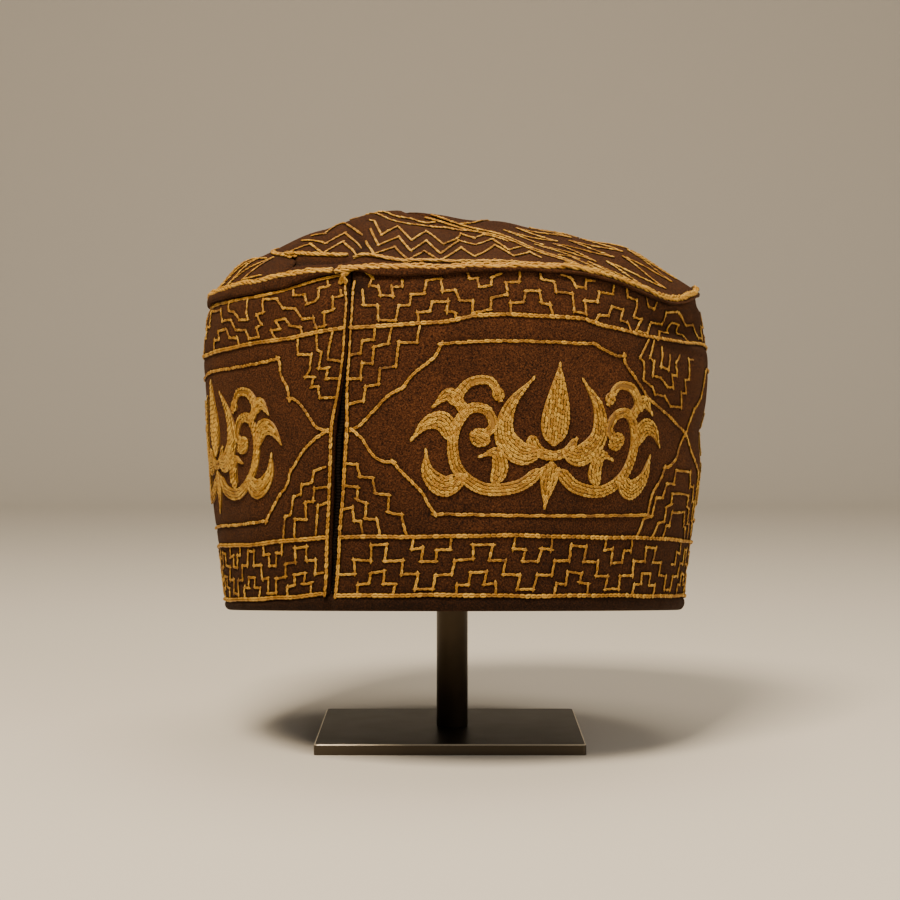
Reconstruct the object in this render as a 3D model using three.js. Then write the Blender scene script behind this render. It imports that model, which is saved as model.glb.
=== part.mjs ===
// A dervish cap of brown felt, closed by one seam at its front left, on a plain metal stand.
// Millimetres, +Z up. The cap's front faces -Y. The origin is the middle of the foot plate's
// underside. The cap is worked out in a frame of its own, with the origin in the middle of its
// hem, and its group then leans back on the stand.

import * as THREE from 'three';

// Display stand
const PLATE = {
  width: 106.6, depth: 88.5, thickness: 4.3, corner: 1.5, cornerSteps: 4, chamfer: 0.6,
};
const POST = { diameter: 12.8, shift: 0.9, sides: 32 };
const HEAD = {
  diameter: 64, rim: 4, edge: 1, domeRadius: 120, domeSteps: 4, hub: 24, hubHeight: 9, gap: 0.4,
  sides: 36,
};
// Places looked at between two corners of the crown's inner face when the head is seated
const SEAT_SAMPLES = 4;

// Cap as a whole
const CAP = { x: 1.9, y: 0, z: 53, lean: 6 };
const RIDGE_HEIGHT = 127;
const SHOULDER_HEIGHT = 100;
const BELLY_POWER = 1.3;
const DROOP_FROM = 96;
const APEX = { x: -21, y: -14, z: 161 };

// One row each 30 degrees round the cap: angle 0 is the front and grows to the front's right.
// hem, shoulder and ridge are radii, height is the ridge's, and fullness tells how soon the
// crown rises from the ridge.
const SECTIONS = [
  { angle: -180, hem: 92.5, shoulder: 103.0, ridge: 100.0, height: 127.0, fullness: 2.3 },
  { angle: -150, hem: 92.8, shoulder: 103.2, ridge: 100.2, height: 127.0, fullness: 2.3 },
  { angle: -120, hem: 93.2, shoulder: 103.6, ridge: 100.6, height: 127.5, fullness: 2.4 },
  { angle: -90, hem: 93.5, shoulder: 103.9, ridge: 101.0, height: 128.0, fullness: 2.5 },
  { angle: -60, hem: 93.5, shoulder: 103.5, ridge: 100.5, height: 126.5, fullness: 2.2 },
  { angle: -30, hem: 93.2, shoulder: 103.0, ridge: 99.5, height: 127.5, fullness: 1.7 },
  { angle: 0, hem: 93.0, shoulder: 102.6, ridge: 98.5, height: 127.0, fullness: 1.25 },
  { angle: 30, hem: 93.0, shoulder: 102.6, ridge: 98.0, height: 126.5, fullness: 1.2 },
  { angle: 60, hem: 93.3, shoulder: 103.0, ridge: 98.0, height: 120.5, fullness: 2.3 },
  { angle: 90, hem: 93.6, shoulder: 104.4, ridge: 100.5, height: 131.5, fullness: 3.0 },
  { angle: 120, hem: 93.2, shoulder: 104.0, ridge: 101.0, height: 131.0, fullness: 3.0 },
  { angle: 150, hem: 92.8, shoulder: 103.4, ridge: 100.2, height: 128.0, fullness: 2.6 },
];
const SECTION_STEP = 360 / SECTIONS.length;

// Hollows pressed into the wall by handling: where, how deep and how far each one reaches.
const DENTS = [
  { angle: 85, height: 70, depth: 2.0, halfAngle: 30, halfHeight: 14 },
  { angle: 62, height: 113, depth: 4.5, halfAngle: 30, halfHeight: 10 },
  { angle: 88, height: 122, depth: 2.0, halfAngle: 25, halfHeight: 8 },
];

// Felt wall with its bound hem. Heights are above the hem's lower edge, and offsets are
// measured outwards from the wall's outer face.
const WALL_THICKNESS = 3;
const WALL_HEIGHTS = [5.2, 16, 28, 40, 52, 64, 76, 88, 97, 105, 112, 118, 121.5, 124.4];
const TUCK = { from: 118, reach: 3.5, depth: 1.15 };
const ROUND_STEPS = 72;
const HEM_PROFILE = [
  { height: 0.0, outer: -1.1, inner: -2.7 },
  { height: 1.0, outer: 0.2, inner: -3.8 },
  { height: 3.8, outer: 0.5, inner: -3.9 },
  { height: 4.9, outer: -0.4, inner: -2.9 },
];

// Seam where the wall's two ends meet, and the dark strip that shows through it
const SEAM = { bottom: -30.3, lean: 6.5, bow: 1.5 };
const SEAM_GAP = { bottom: 2.8, top: 2.1, bulge: 1.7 };
const BACKING = { width: 12, thickness: 1.3, gap: 0.35, from: 6, to: 119, steps: 16, columns: 3 };

// Crown of four felt gores, each turned down over the wall in a short lip. A gore's name goes
// with the hip at its left-hand edge and the hip at its right-hand edge.
const GORES = [
  { name: 'crown_gore_front', from: -41, to: 33, steps: 15 },
  { name: 'crown_gore_right', from: 33, to: 133, steps: 20 },
  { name: 'crown_gore_back', from: 133, to: 223, steps: 18 },
  { name: 'crown_gore_left', from: -137, to: -41, steps: 19 },
];
const HIP_RISE = 2.5;
const HIP_REACH = 22;
const HIP_POWER = 0.7;
const GORE_GAP = 0.5;
const CROWN_THICKNESS = 2.4;
const CROWN_RISES = [0.02, 0.06, 0.12, 0.2, 0.3, 0.42, 0.56, 0.7, 0.84, 0.97];
const LIP_PROFILE = [
  { height: 122.6, outer: 1.0, inner: -0.8 },
  { height: 124.2, outer: 1.1, inner: -0.8 },
  { height: 126.2, outer: 0.8, inner: -0.9, innerHeight: 125.0 },
];

// Gold cords: the ridge braid lies on the edge all round, and the gore braid crosses the
// foot of the front gore. rise is how far up the crown the cord lies.
const RIDGE_BRAID = { out: 1.4, up: 0.75, halfWidth: 1.7, halfHeight: 1.1, slope: 35, sides: 6 };
const GORE_BRAID = { halfWidth: 1.5, halfHeight: 1.0, gap: 0.35, sides: 6, steps: 24 };
const GORE_BRAID_PATH = [
  { angle: -42, rise: 0.17 },
  { angle: -34, rise: 0.115 },
  { angle: -26, rise: 0.065 },
  { angle: -16, rise: 0.045 },
  { angle: 0, rise: 0.04 },
  { angle: 18, rise: 0.038 },
  { angle: 36, rise: 0.036 },
];
const KNOT = { width: 5, depth: 2.8, height: 4.6, gap: 0.35, level: 123.7, columns: 10, rows: 8 };

const DEGREE = Math.PI / 180;
// Small steps over which the crown's slopes are taken
const SLOPE_STEP = { angle: 1, rise: 0.01 };

const FELT = new THREE.MeshStandardMaterial({ color: 0x4a2d1b, roughness: 0.95, metalness: 0 });
const DARK_LINING = new THREE.MeshStandardMaterial({ color: 0x15100c, roughness: 0.95, metalness: 0 });
const GOLD_CORD = new THREE.MeshStandardMaterial({ color: 0xc08a34, roughness: 0.6, metalness: 0 });
const DARK_METAL = new THREE.MeshStandardMaterial({ color: 0x2c2621, roughness: 0.35, metalness: 0.9 });

// A value from the section table at any angle, as a smooth closed curve through the rows
function section(angle, column) {
  const place = THREE.MathUtils.euclideanModulo(angle + 180, 360) / SECTION_STEP;
  const row = Math.floor(place);
  const part = place - row;
  const count = SECTIONS.length;
  const [before, here, next, after] = [-1, 0, 1, 2].map(
    (step) => SECTIONS[(row + step + count) % count][column],
  );
  const bend = 2 * before - 5 * here + 4 * next - after;
  const twist = 3 * (here - next) + after - before;
  return here + 0.5 * part * (next - before + part * (bend + part * twist));
}

// 1 in the middle, easing to 0 at -1 and +1
function bump(x) {
  return Math.abs(x) < 1 ? (Math.cos(Math.PI * x) + 1) / 2 : 0;
}

function angleBetween(a, b) {
  return THREE.MathUtils.euclideanModulo(a - b + 180, 360) - 180;
}

function wallRadius(angle, height) {
  const hem = section(angle, 'hem');
  const shoulder = section(angle, 'shoulder');
  const share = THREE.MathUtils.clamp(height / SHOULDER_HEIGHT, 0, 1);
  const belly = (shoulder - hem) * (1 - (1 - share) ** BELLY_POWER);
  const above = Math.max(0, (height - SHOULDER_HEIGHT) / (RIDGE_HEIGHT - SHOULDER_HEIGHT));
  const turnIn = (shoulder - section(angle, 'ridge')) * above ** 2;
  const dents = DENTS.reduce(
    (sum, dent) =>
      sum +
      dent.depth *
        bump(angleBetween(angle, dent.angle) / dent.halfAngle) *
        bump((height - dent.height) / dent.halfHeight),
    0,
  );
  return hem + belly - turnIn - dents;
}

// Height of a wall point once the wall has sagged with its ridge
function wallLevel(angle, height) {
  const share = THREE.MathUtils.smoothstep(height, DROOP_FROM, RIDGE_HEIGHT);
  return height + (section(angle, 'height') - RIDGE_HEIGHT) * share;
}

function wallPoint(angle, height, offset) {
  const radius = wallRadius(angle, height) + offset;
  const turn = angle * DEGREE;
  return new THREE.Vector3(
    radius * Math.sin(turn),
    -radius * Math.cos(turn),
    wallLevel(angle, height),
  );
}

function crownSurface(angle, rise) {
  const edge = wallPoint(angle, RIDGE_HEIGHT, 0);
  const climb = 1 - (1 - rise) ** section(angle, 'fullness');
  const toHip = Math.min(
    ...GORES.map((gore) => Math.abs(angleBetween(angle, gore.from))),
  );
  const middle = Math.sin(Math.PI * THREE.MathUtils.clamp(rise, 0, 1)) ** HIP_POWER;
  const hollow = HIP_RISE * (1 - bump(toHip / HIP_REACH)) * middle;
  return new THREE.Vector3(
    THREE.MathUtils.lerp(edge.x, APEX.x, rise),
    THREE.MathUtils.lerp(edge.y, APEX.y, rise),
    edge.z + (APEX.z - edge.z) * climb - hollow,
  );
}

function crownAcross(angle, rise) {
  const { angle: turn } = SLOPE_STEP;
  return crownSurface(angle + turn, rise).sub(crownSurface(angle - turn, rise));
}

function crownNormal(angle, rise) {
  const { rise: climb } = SLOPE_STEP;
  const upwards = crownSurface(angle, rise + climb).sub(crownSurface(angle, rise - climb));
  return crownAcross(angle, rise).cross(upwards).normalize();
}

// The crown's inner face lies straight below its outer one, so that the gaps between gores
// stay as wide inside as they are outside.
function crownInside(angle, rise) {
  const point = crownSurface(angle, rise);
  point.z -= CROWN_THICKNESS;
  return point;
}

function seamAngle(height) {
  const share = height / RIDGE_HEIGHT;
  return SEAM.bottom + SEAM.lean * share + SEAM.bow * Math.sin(Math.PI * share);
}

// Half of the seam's gap at a height, in degrees
function seamHalfGap(height) {
  const share = height / RIDGE_HEIGHT;
  const straight = THREE.MathUtils.lerp(SEAM_GAP.bottom, SEAM_GAP.top, share);
  const gap = straight + SEAM_GAP.bulge * Math.sin(Math.PI * share);
  return gap / 2 / section(0, 'shoulder') / DEGREE;
}

function tuck(height) {
  return -TUCK.depth * THREE.MathUtils.smoothstep(height, TUCK.from, TUCK.from + TUCK.reach);
}

// Closed body through a row of section loops with equal point counts. A closed row ends where
// it starts. The ends of an open row are filled by pairing each point with its opposite one.
function sweptGeometry(loops, closed) {
  const points = loops.flat();
  const size = loops[0].length;
  const triangles = [];
  const quad = (a, b, c, d) => triangles.push(a, b, c, a, c, d);
  const spans = closed ? loops.length : loops.length - 1;
  for (let i = 0; i < spans; i++) {
    const near = i * size;
    const far = ((i + 1) % loops.length) * size;
    for (let j = 0; j < size; j++) {
      const next = (j + 1) % size;
      quad(near + j, near + next, far + next, far + j);
    }
  }
  if (!closed) {
    const last = (loops.length - 1) * size;
    for (let j = 0; j < size / 2 - 1; j++) {
      const mate = size - 1 - j;
      quad(mate, mate - 1, j + 1, j);
      quad(last + j, last + j + 1, last + mate - 1, last + mate);
    }
  }
  const geometry = new THREE.BufferGeometry().setFromPoints(points);
  geometry.setIndex(triangles);
  geometry.computeVertexNormals();
  return geometry;
}

function namedMesh(name, geometry, material) {
  const mesh = new THREE.Mesh(geometry, material);
  mesh.name = name;
  return mesh;
}

// Section loop of a sheet: down the outer face, then up the inner face
function sheetLoop(outer, inner) {
  return [...outer.toReversed(), ...inner];
}

// Flattened section of a cord, with its axes high and wide square to the cord's run
function cordLoop(centre, high, wide, { halfWidth, halfHeight, sides }) {
  return Array.from({ length: sides }, (_, j) => {
    const turn = ((j + 0.5) / sides) * 2 * Math.PI;
    return centre
      .clone()
      .addScaledVector(high, halfHeight * Math.cos(turn))
      .addScaledVector(wide, halfWidth * Math.sin(turn));
  });
}

function steps(count) {
  return Array.from({ length: count + 1 }, (_, i) => i / count);
}

function wallBand() {
  const loops = steps(ROUND_STEPS).map((share) => {
    const angleAt = (height) => {
      const half = seamHalfGap(height);
      return seamAngle(height) + half + (360 - 2 * half) * share;
    };
    const outer = WALL_HEIGHTS.map((height) => wallPoint(angleAt(height), height, tuck(height)));
    const inner = WALL_HEIGHTS.map((height) =>
      wallPoint(angleAt(height), height, tuck(height) - WALL_THICKNESS),
    );
    return sheetLoop(outer, inner);
  });
  return namedMesh('wall_band', sweptGeometry(loops, false), FELT);
}

function hemBinding() {
  const loops = steps(ROUND_STEPS)
    .slice(0, ROUND_STEPS)
    .map((share) => {
      const angle = 360 * share;
      const outer = HEM_PROFILE.map((row) => wallPoint(angle, row.height, row.outer));
      const inner = HEM_PROFILE.map((row) => wallPoint(angle, row.height, row.inner));
      return sheetLoop(outer, inner);
    });
  return namedMesh('hem_binding', sweptGeometry(loops, true), FELT);
}

function seamBacking() {
  const front = -WALL_THICKNESS - BACKING.gap;
  const heights = steps(BACKING.steps).map((share) =>
    THREE.MathUtils.lerp(BACKING.from, BACKING.to, share),
  );
  const half = BACKING.width / 2 / section(0, 'shoulder') / DEGREE;
  const loops = steps(BACKING.columns).map((share) => {
    const point = (height, offset) =>
      wallPoint(seamAngle(height) + half * (2 * share - 1), height, offset + tuck(height));
    const outer = heights.map((height) => point(height, front));
    const inner = heights.map((height) => point(height, front - BACKING.thickness));
    return sheetLoop(outer, inner);
  });
  return namedMesh('seam_backing', sweptGeometry(loops, false), DARK_LINING);
}

function crownGore(gore) {
  const loops = steps(gore.steps).map((share) => {
    const angleAt = (rise) => {
      const spare = GORE_GAP / 2 / (section(0, 'ridge') * (1 - rise)) / DEGREE;
      return gore.from + spare + (gore.to - gore.from - 2 * spare) * share;
    };
    const edge = angleAt(0);
    const outer = [
      ...LIP_PROFILE.map((row) => wallPoint(edge, row.height, row.outer)),
      ...CROWN_RISES.map((rise) => crownSurface(angleAt(rise), rise)),
    ];
    const inner = [
      ...LIP_PROFILE.map((row) => wallPoint(edge, row.innerHeight ?? row.height, row.inner)),
      ...CROWN_RISES.map((rise) => crownInside(angleAt(rise), rise)),
    ];
    return sheetLoop(outer, inner);
  });
  return namedMesh(gore.name, sweptGeometry(loops, false), FELT);
}

function ridgeBraid() {
  const loops = steps(ROUND_STEPS)
    .slice(0, ROUND_STEPS)
    .map((share) => {
      const angle = 360 * share;
      const centre = wallPoint(angle, RIDGE_HEIGHT, RIDGE_BRAID.out);
      centre.z += RIDGE_BRAID.up;
      const slope = RIDGE_BRAID.slope * DEGREE;
      const out = new THREE.Vector3(Math.sin(angle * DEGREE), -Math.cos(angle * DEGREE), 0);
      const up = new THREE.Vector3(0, 0, 1);
      const wide = out.clone().multiplyScalar(Math.cos(slope)).addScaledVector(up, -Math.sin(slope));
      const high = out.clone().multiplyScalar(Math.sin(slope)).addScaledVector(up, Math.cos(slope));
      return cordLoop(centre, high, wide, RIDGE_BRAID);
    });
  return namedMesh('ridge_braid', sweptGeometry(loops, true), GOLD_CORD);
}

function goreBraid() {
  const points = GORE_BRAID_PATH.map((row) => new THREE.Vector2(row.angle, row.rise));
  const path = new THREE.SplineCurve(points);
  const lift = GORE_BRAID.gap + GORE_BRAID.halfHeight;
  const loops = path.getPoints(GORE_BRAID.steps).map(({ x: angle, y: rise }) => {
    const high = crownNormal(angle, rise);
    const wide = crownAcross(angle, rise).normalize().cross(high);
    const centre = crownSurface(angle, rise).addScaledVector(high, lift);
    return cordLoop(centre, high, wide, GORE_BRAID);
  });
  return namedMesh('gore_braid', sweptGeometry(loops, false), GOLD_CORD);
}

function seamKnot() {
  const ball = new THREE.SphereGeometry(0.5, KNOT.columns, KNOT.rows);
  ball.scale(KNOT.width, KNOT.depth, KNOT.height);
  const knot = namedMesh('seam_knot', ball, GOLD_CORD);
  const angle = seamAngle(KNOT.level);
  const offset = LIP_PROFILE[1].outer + KNOT.gap + KNOT.depth / 2;
  knot.position.copy(wallPoint(angle, KNOT.level, offset));
  knot.rotation.z = angle * DEGREE;
  return knot;
}

function standBase() {
  const { width, depth, thickness, corner, cornerSteps, chamfer } = PLATE;
  const outline = (inset, level) => {
    const halfWidth = width / 2 - inset;
    const halfDepth = depth / 2 - inset;
    const shape = new THREE.Shape();
    shape.moveTo(-halfWidth + corner, -halfDepth);
    shape.lineTo(halfWidth - corner, -halfDepth);
    shape.absarc(halfWidth - corner, -halfDepth + corner, corner, -Math.PI / 2, 0);
    shape.absarc(halfWidth - corner, halfDepth - corner, corner, 0, Math.PI / 2);
    shape.absarc(-halfWidth + corner, halfDepth - corner, corner, Math.PI / 2, Math.PI);
    shape.absarc(-halfWidth + corner, -halfDepth + corner, corner, Math.PI, Math.PI * 1.5);
    const points = shape.getPoints(cornerSteps).slice(0, -1);
    return points.map((point) => new THREE.Vector3(point.x, point.y, level));
  };
  const loops = [outline(0, 0), outline(0, thickness - chamfer), outline(chamfer, thickness)];
  return namedMesh('stand_base', sweptGeometry(loops, false), DARK_METAL);
}

// Level of the head's dome at a distance from its axis, below its own top
function domeLevel(distance) {
  return Math.sqrt(HEAD.domeRadius ** 2 - distance ** 2) - HEAD.domeRadius;
}

// Height at which the head's dome comes up against the inside of the crown
function headTop(capPlace) {
  const roomAt = (point) => {
    const distance = Math.hypot(point.x - POST.shift, point.y);
    return distance < HEAD.diameter / 2 ? point.z - domeLevel(distance) : Infinity;
  };
  const rooms = steps(ROUND_STEPS).flatMap((turn) => {
    const corners = CROWN_RISES.map((rise) =>
      crownInside(360 * turn, rise).applyMatrix4(capPlace),
    );
    return corners.slice(1).flatMap((corner, i) =>
      steps(SEAT_SAMPLES).map((share) => roomAt(corners[i].clone().lerp(corner, share))),
    );
  });
  return Math.min(...rooms) - HEAD.gap;
}

function standHead(top) {
  const rimRadius = HEAD.diameter / 2;
  const rimTop = domeLevel(rimRadius);
  const dome = steps(HEAD.domeSteps).map((share) => {
    const distance = rimRadius * (1 - share);
    return new THREE.Vector2(distance, domeLevel(distance));
  });
  const profile = [
    new THREE.Vector2(0, rimTop - HEAD.rim - HEAD.hubHeight),
    new THREE.Vector2(HEAD.hub / 2, rimTop - HEAD.rim - HEAD.hubHeight),
    new THREE.Vector2(HEAD.hub / 2, rimTop - HEAD.rim),
    new THREE.Vector2(rimRadius - HEAD.edge, rimTop - HEAD.rim),
    new THREE.Vector2(rimRadius, rimTop - HEAD.rim + HEAD.edge),
    ...dome,
  ];
  const lathe = new THREE.LatheGeometry(profile, HEAD.sides);
  lathe.rotateX(Math.PI / 2);
  const head = namedMesh('stand_head', lathe, DARK_METAL);
  head.position.set(POST.shift, 0, top);
  return head;
}

function standPost(top) {
  const underHead = top + domeLevel(HEAD.diameter / 2) - HEAD.rim - HEAD.hubHeight;
  const length = underHead - PLATE.thickness;
  const radius = POST.diameter / 2;
  const rod = new THREE.CylinderGeometry(radius, radius, length, POST.sides);
  rod.rotateX(Math.PI / 2);
  const post = namedMesh('stand_post', rod, DARK_METAL);
  post.position.set(POST.shift, 0, PLATE.thickness + length / 2);
  return post;
}

const cap = new THREE.Group();
cap.position.set(CAP.x, CAP.y, CAP.z);
cap.rotation.x = -CAP.lean * DEGREE;
cap.updateMatrixWorld(true);
cap.add(wallBand(), hemBinding(), seamBacking());
cap.add(...GORES.map(crownGore));
cap.add(ridgeBraid(), goreBraid(), seamKnot());

const top = headTop(cap.matrixWorld);
const capOnStand = new THREE.Group();
capOnStand.add(cap, standBase(), standPost(top), standHead(top));

export default capOnStand;
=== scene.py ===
"""A brown felt dervish cap with gold chain-stitch embroidery, on a plain steel display stand.

Angles run round the cap from its front, growing to the right as seen from the front, in degrees.
Heights run up the wall from the hem, in millimetres, in the cap's own upright frame. A turn is an
angle counted from the open seam, and a rise runs over the crown from the ridge (0) to its top (1).
"""

import math

import bmesh
import bpy
import numpy as np
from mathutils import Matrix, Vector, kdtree


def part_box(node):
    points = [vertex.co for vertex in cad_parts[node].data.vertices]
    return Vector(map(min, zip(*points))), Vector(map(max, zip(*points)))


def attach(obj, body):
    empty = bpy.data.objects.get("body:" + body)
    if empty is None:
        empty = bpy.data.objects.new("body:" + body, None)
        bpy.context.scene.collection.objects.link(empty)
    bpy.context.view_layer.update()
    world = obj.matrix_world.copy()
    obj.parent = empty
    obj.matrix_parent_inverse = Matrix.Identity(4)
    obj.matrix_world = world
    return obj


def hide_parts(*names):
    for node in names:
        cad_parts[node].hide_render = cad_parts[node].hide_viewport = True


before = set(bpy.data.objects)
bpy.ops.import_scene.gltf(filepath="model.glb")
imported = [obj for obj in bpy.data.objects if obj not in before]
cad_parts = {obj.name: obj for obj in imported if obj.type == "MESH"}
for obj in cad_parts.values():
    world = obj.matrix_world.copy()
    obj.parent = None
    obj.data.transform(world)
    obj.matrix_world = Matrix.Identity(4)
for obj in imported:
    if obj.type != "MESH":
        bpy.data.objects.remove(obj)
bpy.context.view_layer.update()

bl_info = {
    "name": "Dervish cap",
    "version": (1, 0, 0),
    "blender": (4, 5, 0),
    "location": "3D View > Sidebar > Dervish cap",
    "description": "Makes an embroidered felt dervish cap and its display stand",
    "category": "Add Mesh",
}

# Trees, materials and the embroidery's plan, made once and shared by the operators
_kept = {}
BODY = "root"
MM = 0.001

# The cap's shape, the same as in the part's source
CAP_PLACE = (1.9, 0.0, 53.0)
CAP_LEAN = 6.0
RIDGE_HEIGHT = 127.0
SHOULDER_HEIGHT = 100.0
BELLY_POWER = 1.3
DROOP_FROM = 96.0
APEX = np.array([-21.0, -14.0, 161.0])
# Radii at the hem, shoulder and ridge, the ridge's height and the crown's fullness, a row for
# every 30 degrees from the back
HEM, SHOULDER, RIDGE, LEVEL, FULLNESS = range(5)
SECTIONS = np.array([
    [92.5, 103.0, 100.0, 127.0, 2.3],
    [92.8, 103.2, 100.2, 127.0, 2.3],
    [93.2, 103.6, 100.6, 127.5, 2.4],
    [93.5, 103.9, 101.0, 128.0, 2.5],
    [93.5, 103.5, 100.5, 126.5, 2.2],
    [93.2, 103.0, 99.5, 127.5, 1.7],
    [93.0, 102.6, 98.5, 127.0, 1.25],
    [93.0, 102.6, 98.0, 126.5, 1.2],
    [93.3, 103.0, 98.0, 120.5, 2.3],
    [93.6, 104.4, 100.5, 131.5, 3.0],
    [93.2, 104.0, 101.0, 131.0, 3.0],
    [92.8, 103.4, 100.2, 128.0, 2.6],
])
# Angle, height, depth, half angle and half height of each dent in the wall
DENTS = ((85, 70, 2.0, 30, 14), (62, 113, 4.5, 30, 10), (62, 101, 1.6, 24, 5))
WALL_THICKNESS = 3.0
TUCK_FROM, TUCK_REACH, TUCK_DEPTH = 118.0, 3.5, 1.15
WALL_TOP = 125.7
SEAM_BOTTOM, SEAM_LEAN, SEAM_BOW = -30.3, 6.5, 1.5
# How far the sewn seam strays to the right under the upper key band, in degrees
SEAM_STRAY = 1.4
GAP_BOTTOM, GAP_TOP, GAP_BULGE = 2.8, 2.1, 1.7
HIPS = (-41.0, 33.0, 133.0, 223.0)
HIP_RISE, HIP_REACH, HIP_POWER = 2.5, 22.0, 0.7
# The front left hip's stitching wanders this far round the crown, in degrees, as it climbs
HIP_WANDER, WANDER_FROM, WANDER_REACH = 60.0, 0.08, 0.42
GORES = tuple(zip(HIPS, (*HIPS[1:], HIPS[0] + 360.0)))
CROWN_THICKNESS = 2.4
# Height on the wall and outward offset of the lip that each gore turns down over the wall
LIP_PROFILE = ((122.5, 0.0), (122.6, 0.6), (123.0, 1.0), (123.8, 1.2), (124.8, 1.2), (125.7, 1.0),
               (126.4, 0.6))
# Angle and height of the lip's lower edge, which runs out beside the seam and at the front right
LIP_EDGE = np.array([
    (-180, 122.3), (-110, 122.6), (-83, 122.9), (-61, 121.9), (-50, 120.9), (-40, 121.2),
    (-35, 122.6), (-31, 124.0), (-25, 124.9), (-21, 124.9), (-18, 123.2), (-12, 122.3), (-6, 122.7),
    (1, 123.8), (12, 124.8), (36, 125.3), (70, 125.3), (100, 124.4), (130, 123.0), (180, 122.3),
])
# The same for the lip's inner side
LIP_INSIDE = ((122.5, -0.8), (124.8, -0.9))
POST_DIAMETER, POST_SHIFT, POST_CHAMFER = 12.8, 0.9, 0.3
PLATE_THICKNESS, PLATE_CHAMFER = 4.3, 0.5
# Mean radii that turn degrees into millimetres: the wall's, and the crown's foot's for felt and
# for stitches
WALL_RADIUS, RIDGE_RADIUS, CROWN_RADIUS = 100.0, 98.0, 97.0
# Round the wall once
WALL_LENGTH = 640.0
# The hem's roll: how far it reaches below height 0, and its middle and half width across the wall
ROLL_DROP, ROLL_MIDDLE, ROLL_HALF = 1.05, -1.75, 2.05
# The tape behind the seam: its width, its thickness and how far it lies from the cap's middle
TAPE_WIDTH, TAPE_THICKNESS, TAPE_RADIUS = 12.0, 1.3, 103.0
# How deep a stitch or an edge draws the felt in, and how far beside it
STITCH_SINK, STITCH_REACH = 0.5, 1.2
# How much light the felt keeps on the crown's lip and on the hem
LIP_SHADE, HEM_SHADE = 0.8, 0.3
# Depth, number round the cap, slant and start of each wave in the wall
HAND_WAVES = ((0.34, 3, 0.031, 0.4), (0.22, 7, -0.052, 1.9), (0.16, 13, 0.083, 4.0),
              (0.12, 23, -0.12, 2.2), (0.10, 9, 0.21, 0.0))
# The camera: its lens in millimetres, the eye's height in metres, and in pixels the photograph's
# side and how far the horizon lies above its middle
LENS_LENGTH, EYE_HEIGHT = 84.0, 0.1485
PHOTO_SIZE, HORIZON_RISE = 900.0, 75.0

# The embroidery's layout, in degrees from the seam and millimetres up the wall
PANELS = ((0.0, 91.5, 4), (91.5, 181.0, 4), (181.0, 270.5, 4), (270.5, 360.0, 5))
# Heights of the lowest line and of the line over the lower key band: turn and height
BOTTOM_LINE = np.array([(0, 4.9), (60, 4.7), (180, 4.6), (270, 3.9), (305, 3.3), (338, 3.3),
                        (349, 4.1), (357, 5.4), (360, 5.6)])
LOW_LINE = np.array([(0, 26.2), (40, 26.6), (180, 26.4), (270, 25.2), (310, 24.6), (332, 24.3),
                     (346, 25.2), (360, 26.3)])
# The line under the upper key band
BAND_LINE = np.array([(0, 103.6), (14, 104.0), (22, 104.8), (28, 107.2), (36, 108.2), (52, 107.8),
                      (57, 105.8), (68, 104.2), (78, 104.8), (103, 106.2), (130, 105.4), (200, 104.6),
                      (250, 104.0), (290, 102.4), (312, 101.0), (335, 100.6), (348, 101.4),
                      (356, 103.2), (360, 103.8)])
# The line along the lip's edge, left of the seam
LIP_LINE = np.array([(284, 121.9), (301, 121.6), (320, 120.7), (334, 119.8), (343, 120.1),
                     (348, 121.6), (353, 123.0), (359, 123.9)])
# Steps of the key lines, over the lowest line and over the upper band's line
LOW_STEPS = (2.3, 7.5, 12.8, 18.3)
HIGH_STEPS = (17.4, 11.8, 6.9, 2.1)
# Base, step and top of the small pyramids in the key bands, over those same lines. In the upper
# band the hanging ones start at the lip
LOW_STANDING, LOW_HANGING = (0.6, 4.2, 8.6), (21.0, 17.0, 12.4)
HIGH_STANDING, HIGH_HANGING = (0.6, 4.6, 8.9), (15.2, 11.2)
# Where the upper key band is made by rule, beyond what its drawn tables hold
RIGHT_HIGH_START, LEFT_HIGH_END = 118.5, 312.5
# Turns that bound the lines round the wall and the key bands, which stay clear of the seam
LINE_START, LINE_END, BAND_LINE_END = 2.5, 357.5, 359.9
KEY_START, KEY_END = 2.3, 357.8
SEAM_LINE_TOP = 120.5
# Angle and rise along the two stretches of the braid across the front gore's foot
GORE_BRAIDS = (
    ((-49, 0.18), (-43, 0.15), (-38, 0.135), (-32, 0.132), (-26, 0.124)),
    ((-23.8, 0.1), (-19.5, 0.1), (-15, 0.07), (-8.7, 0.042), (0, 0.04), (18, 0.038), (36, 0.036)),
)
# Where the ridge's braid starts and ends, either side of the seam
BRAID_START, BRAID_END = -26.6, 333.0
# Heights of the seam tuft's lower and upper threads
TUFT_HEIGHTS = (122.8, 126.2)
# Angle and height of the cord that is sewn along the ridge
RIDGE_CORD = np.array([(-180, 127.3), (-95, 126.7), (-60, 126.2), (-28, 125.9), (0, 126.0),
                       (12, 126.9), (25, 127.6), (45, 128.0), (60, 127.8), (80, 127.6), (180, 127.3)])
# Widths of the finer stitched lines beside a border line's
FRET_WIDTH, WEDGE_WIDTH, CARTOUCHE_WIDTH, ZIGZAG_WIDTH = 0.62, 0.62, 0.78, 0.66
# Millimetres to a degree round the wall, how far a run ends short of its corner, and its lift
DEGREE_LENGTH, CORNER_TRIM, LINE_LIFT = 1.75, 0.5, 0.1
# A run shorter than this is left out
SHORTEST_RUN = 1.2


def ring_value(angle, column):
    """One column of the sections, read smoothly at any angle."""
    spot = ((np.asarray(angle, float) + 180.0) % 360.0) / 30.0
    index = np.floor(spot).astype(int)
    part = spot - index
    count = len(SECTIONS)
    before, start, end, after = (SECTIONS[(index + k) % count, column] for k in (-1, 0, 1, 2))
    bend = 2 * before - 5 * start + 4 * end - after + part * (3 * (start - end) + after - before)
    return start + 0.5 * part * (end - before + part * bend)


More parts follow.
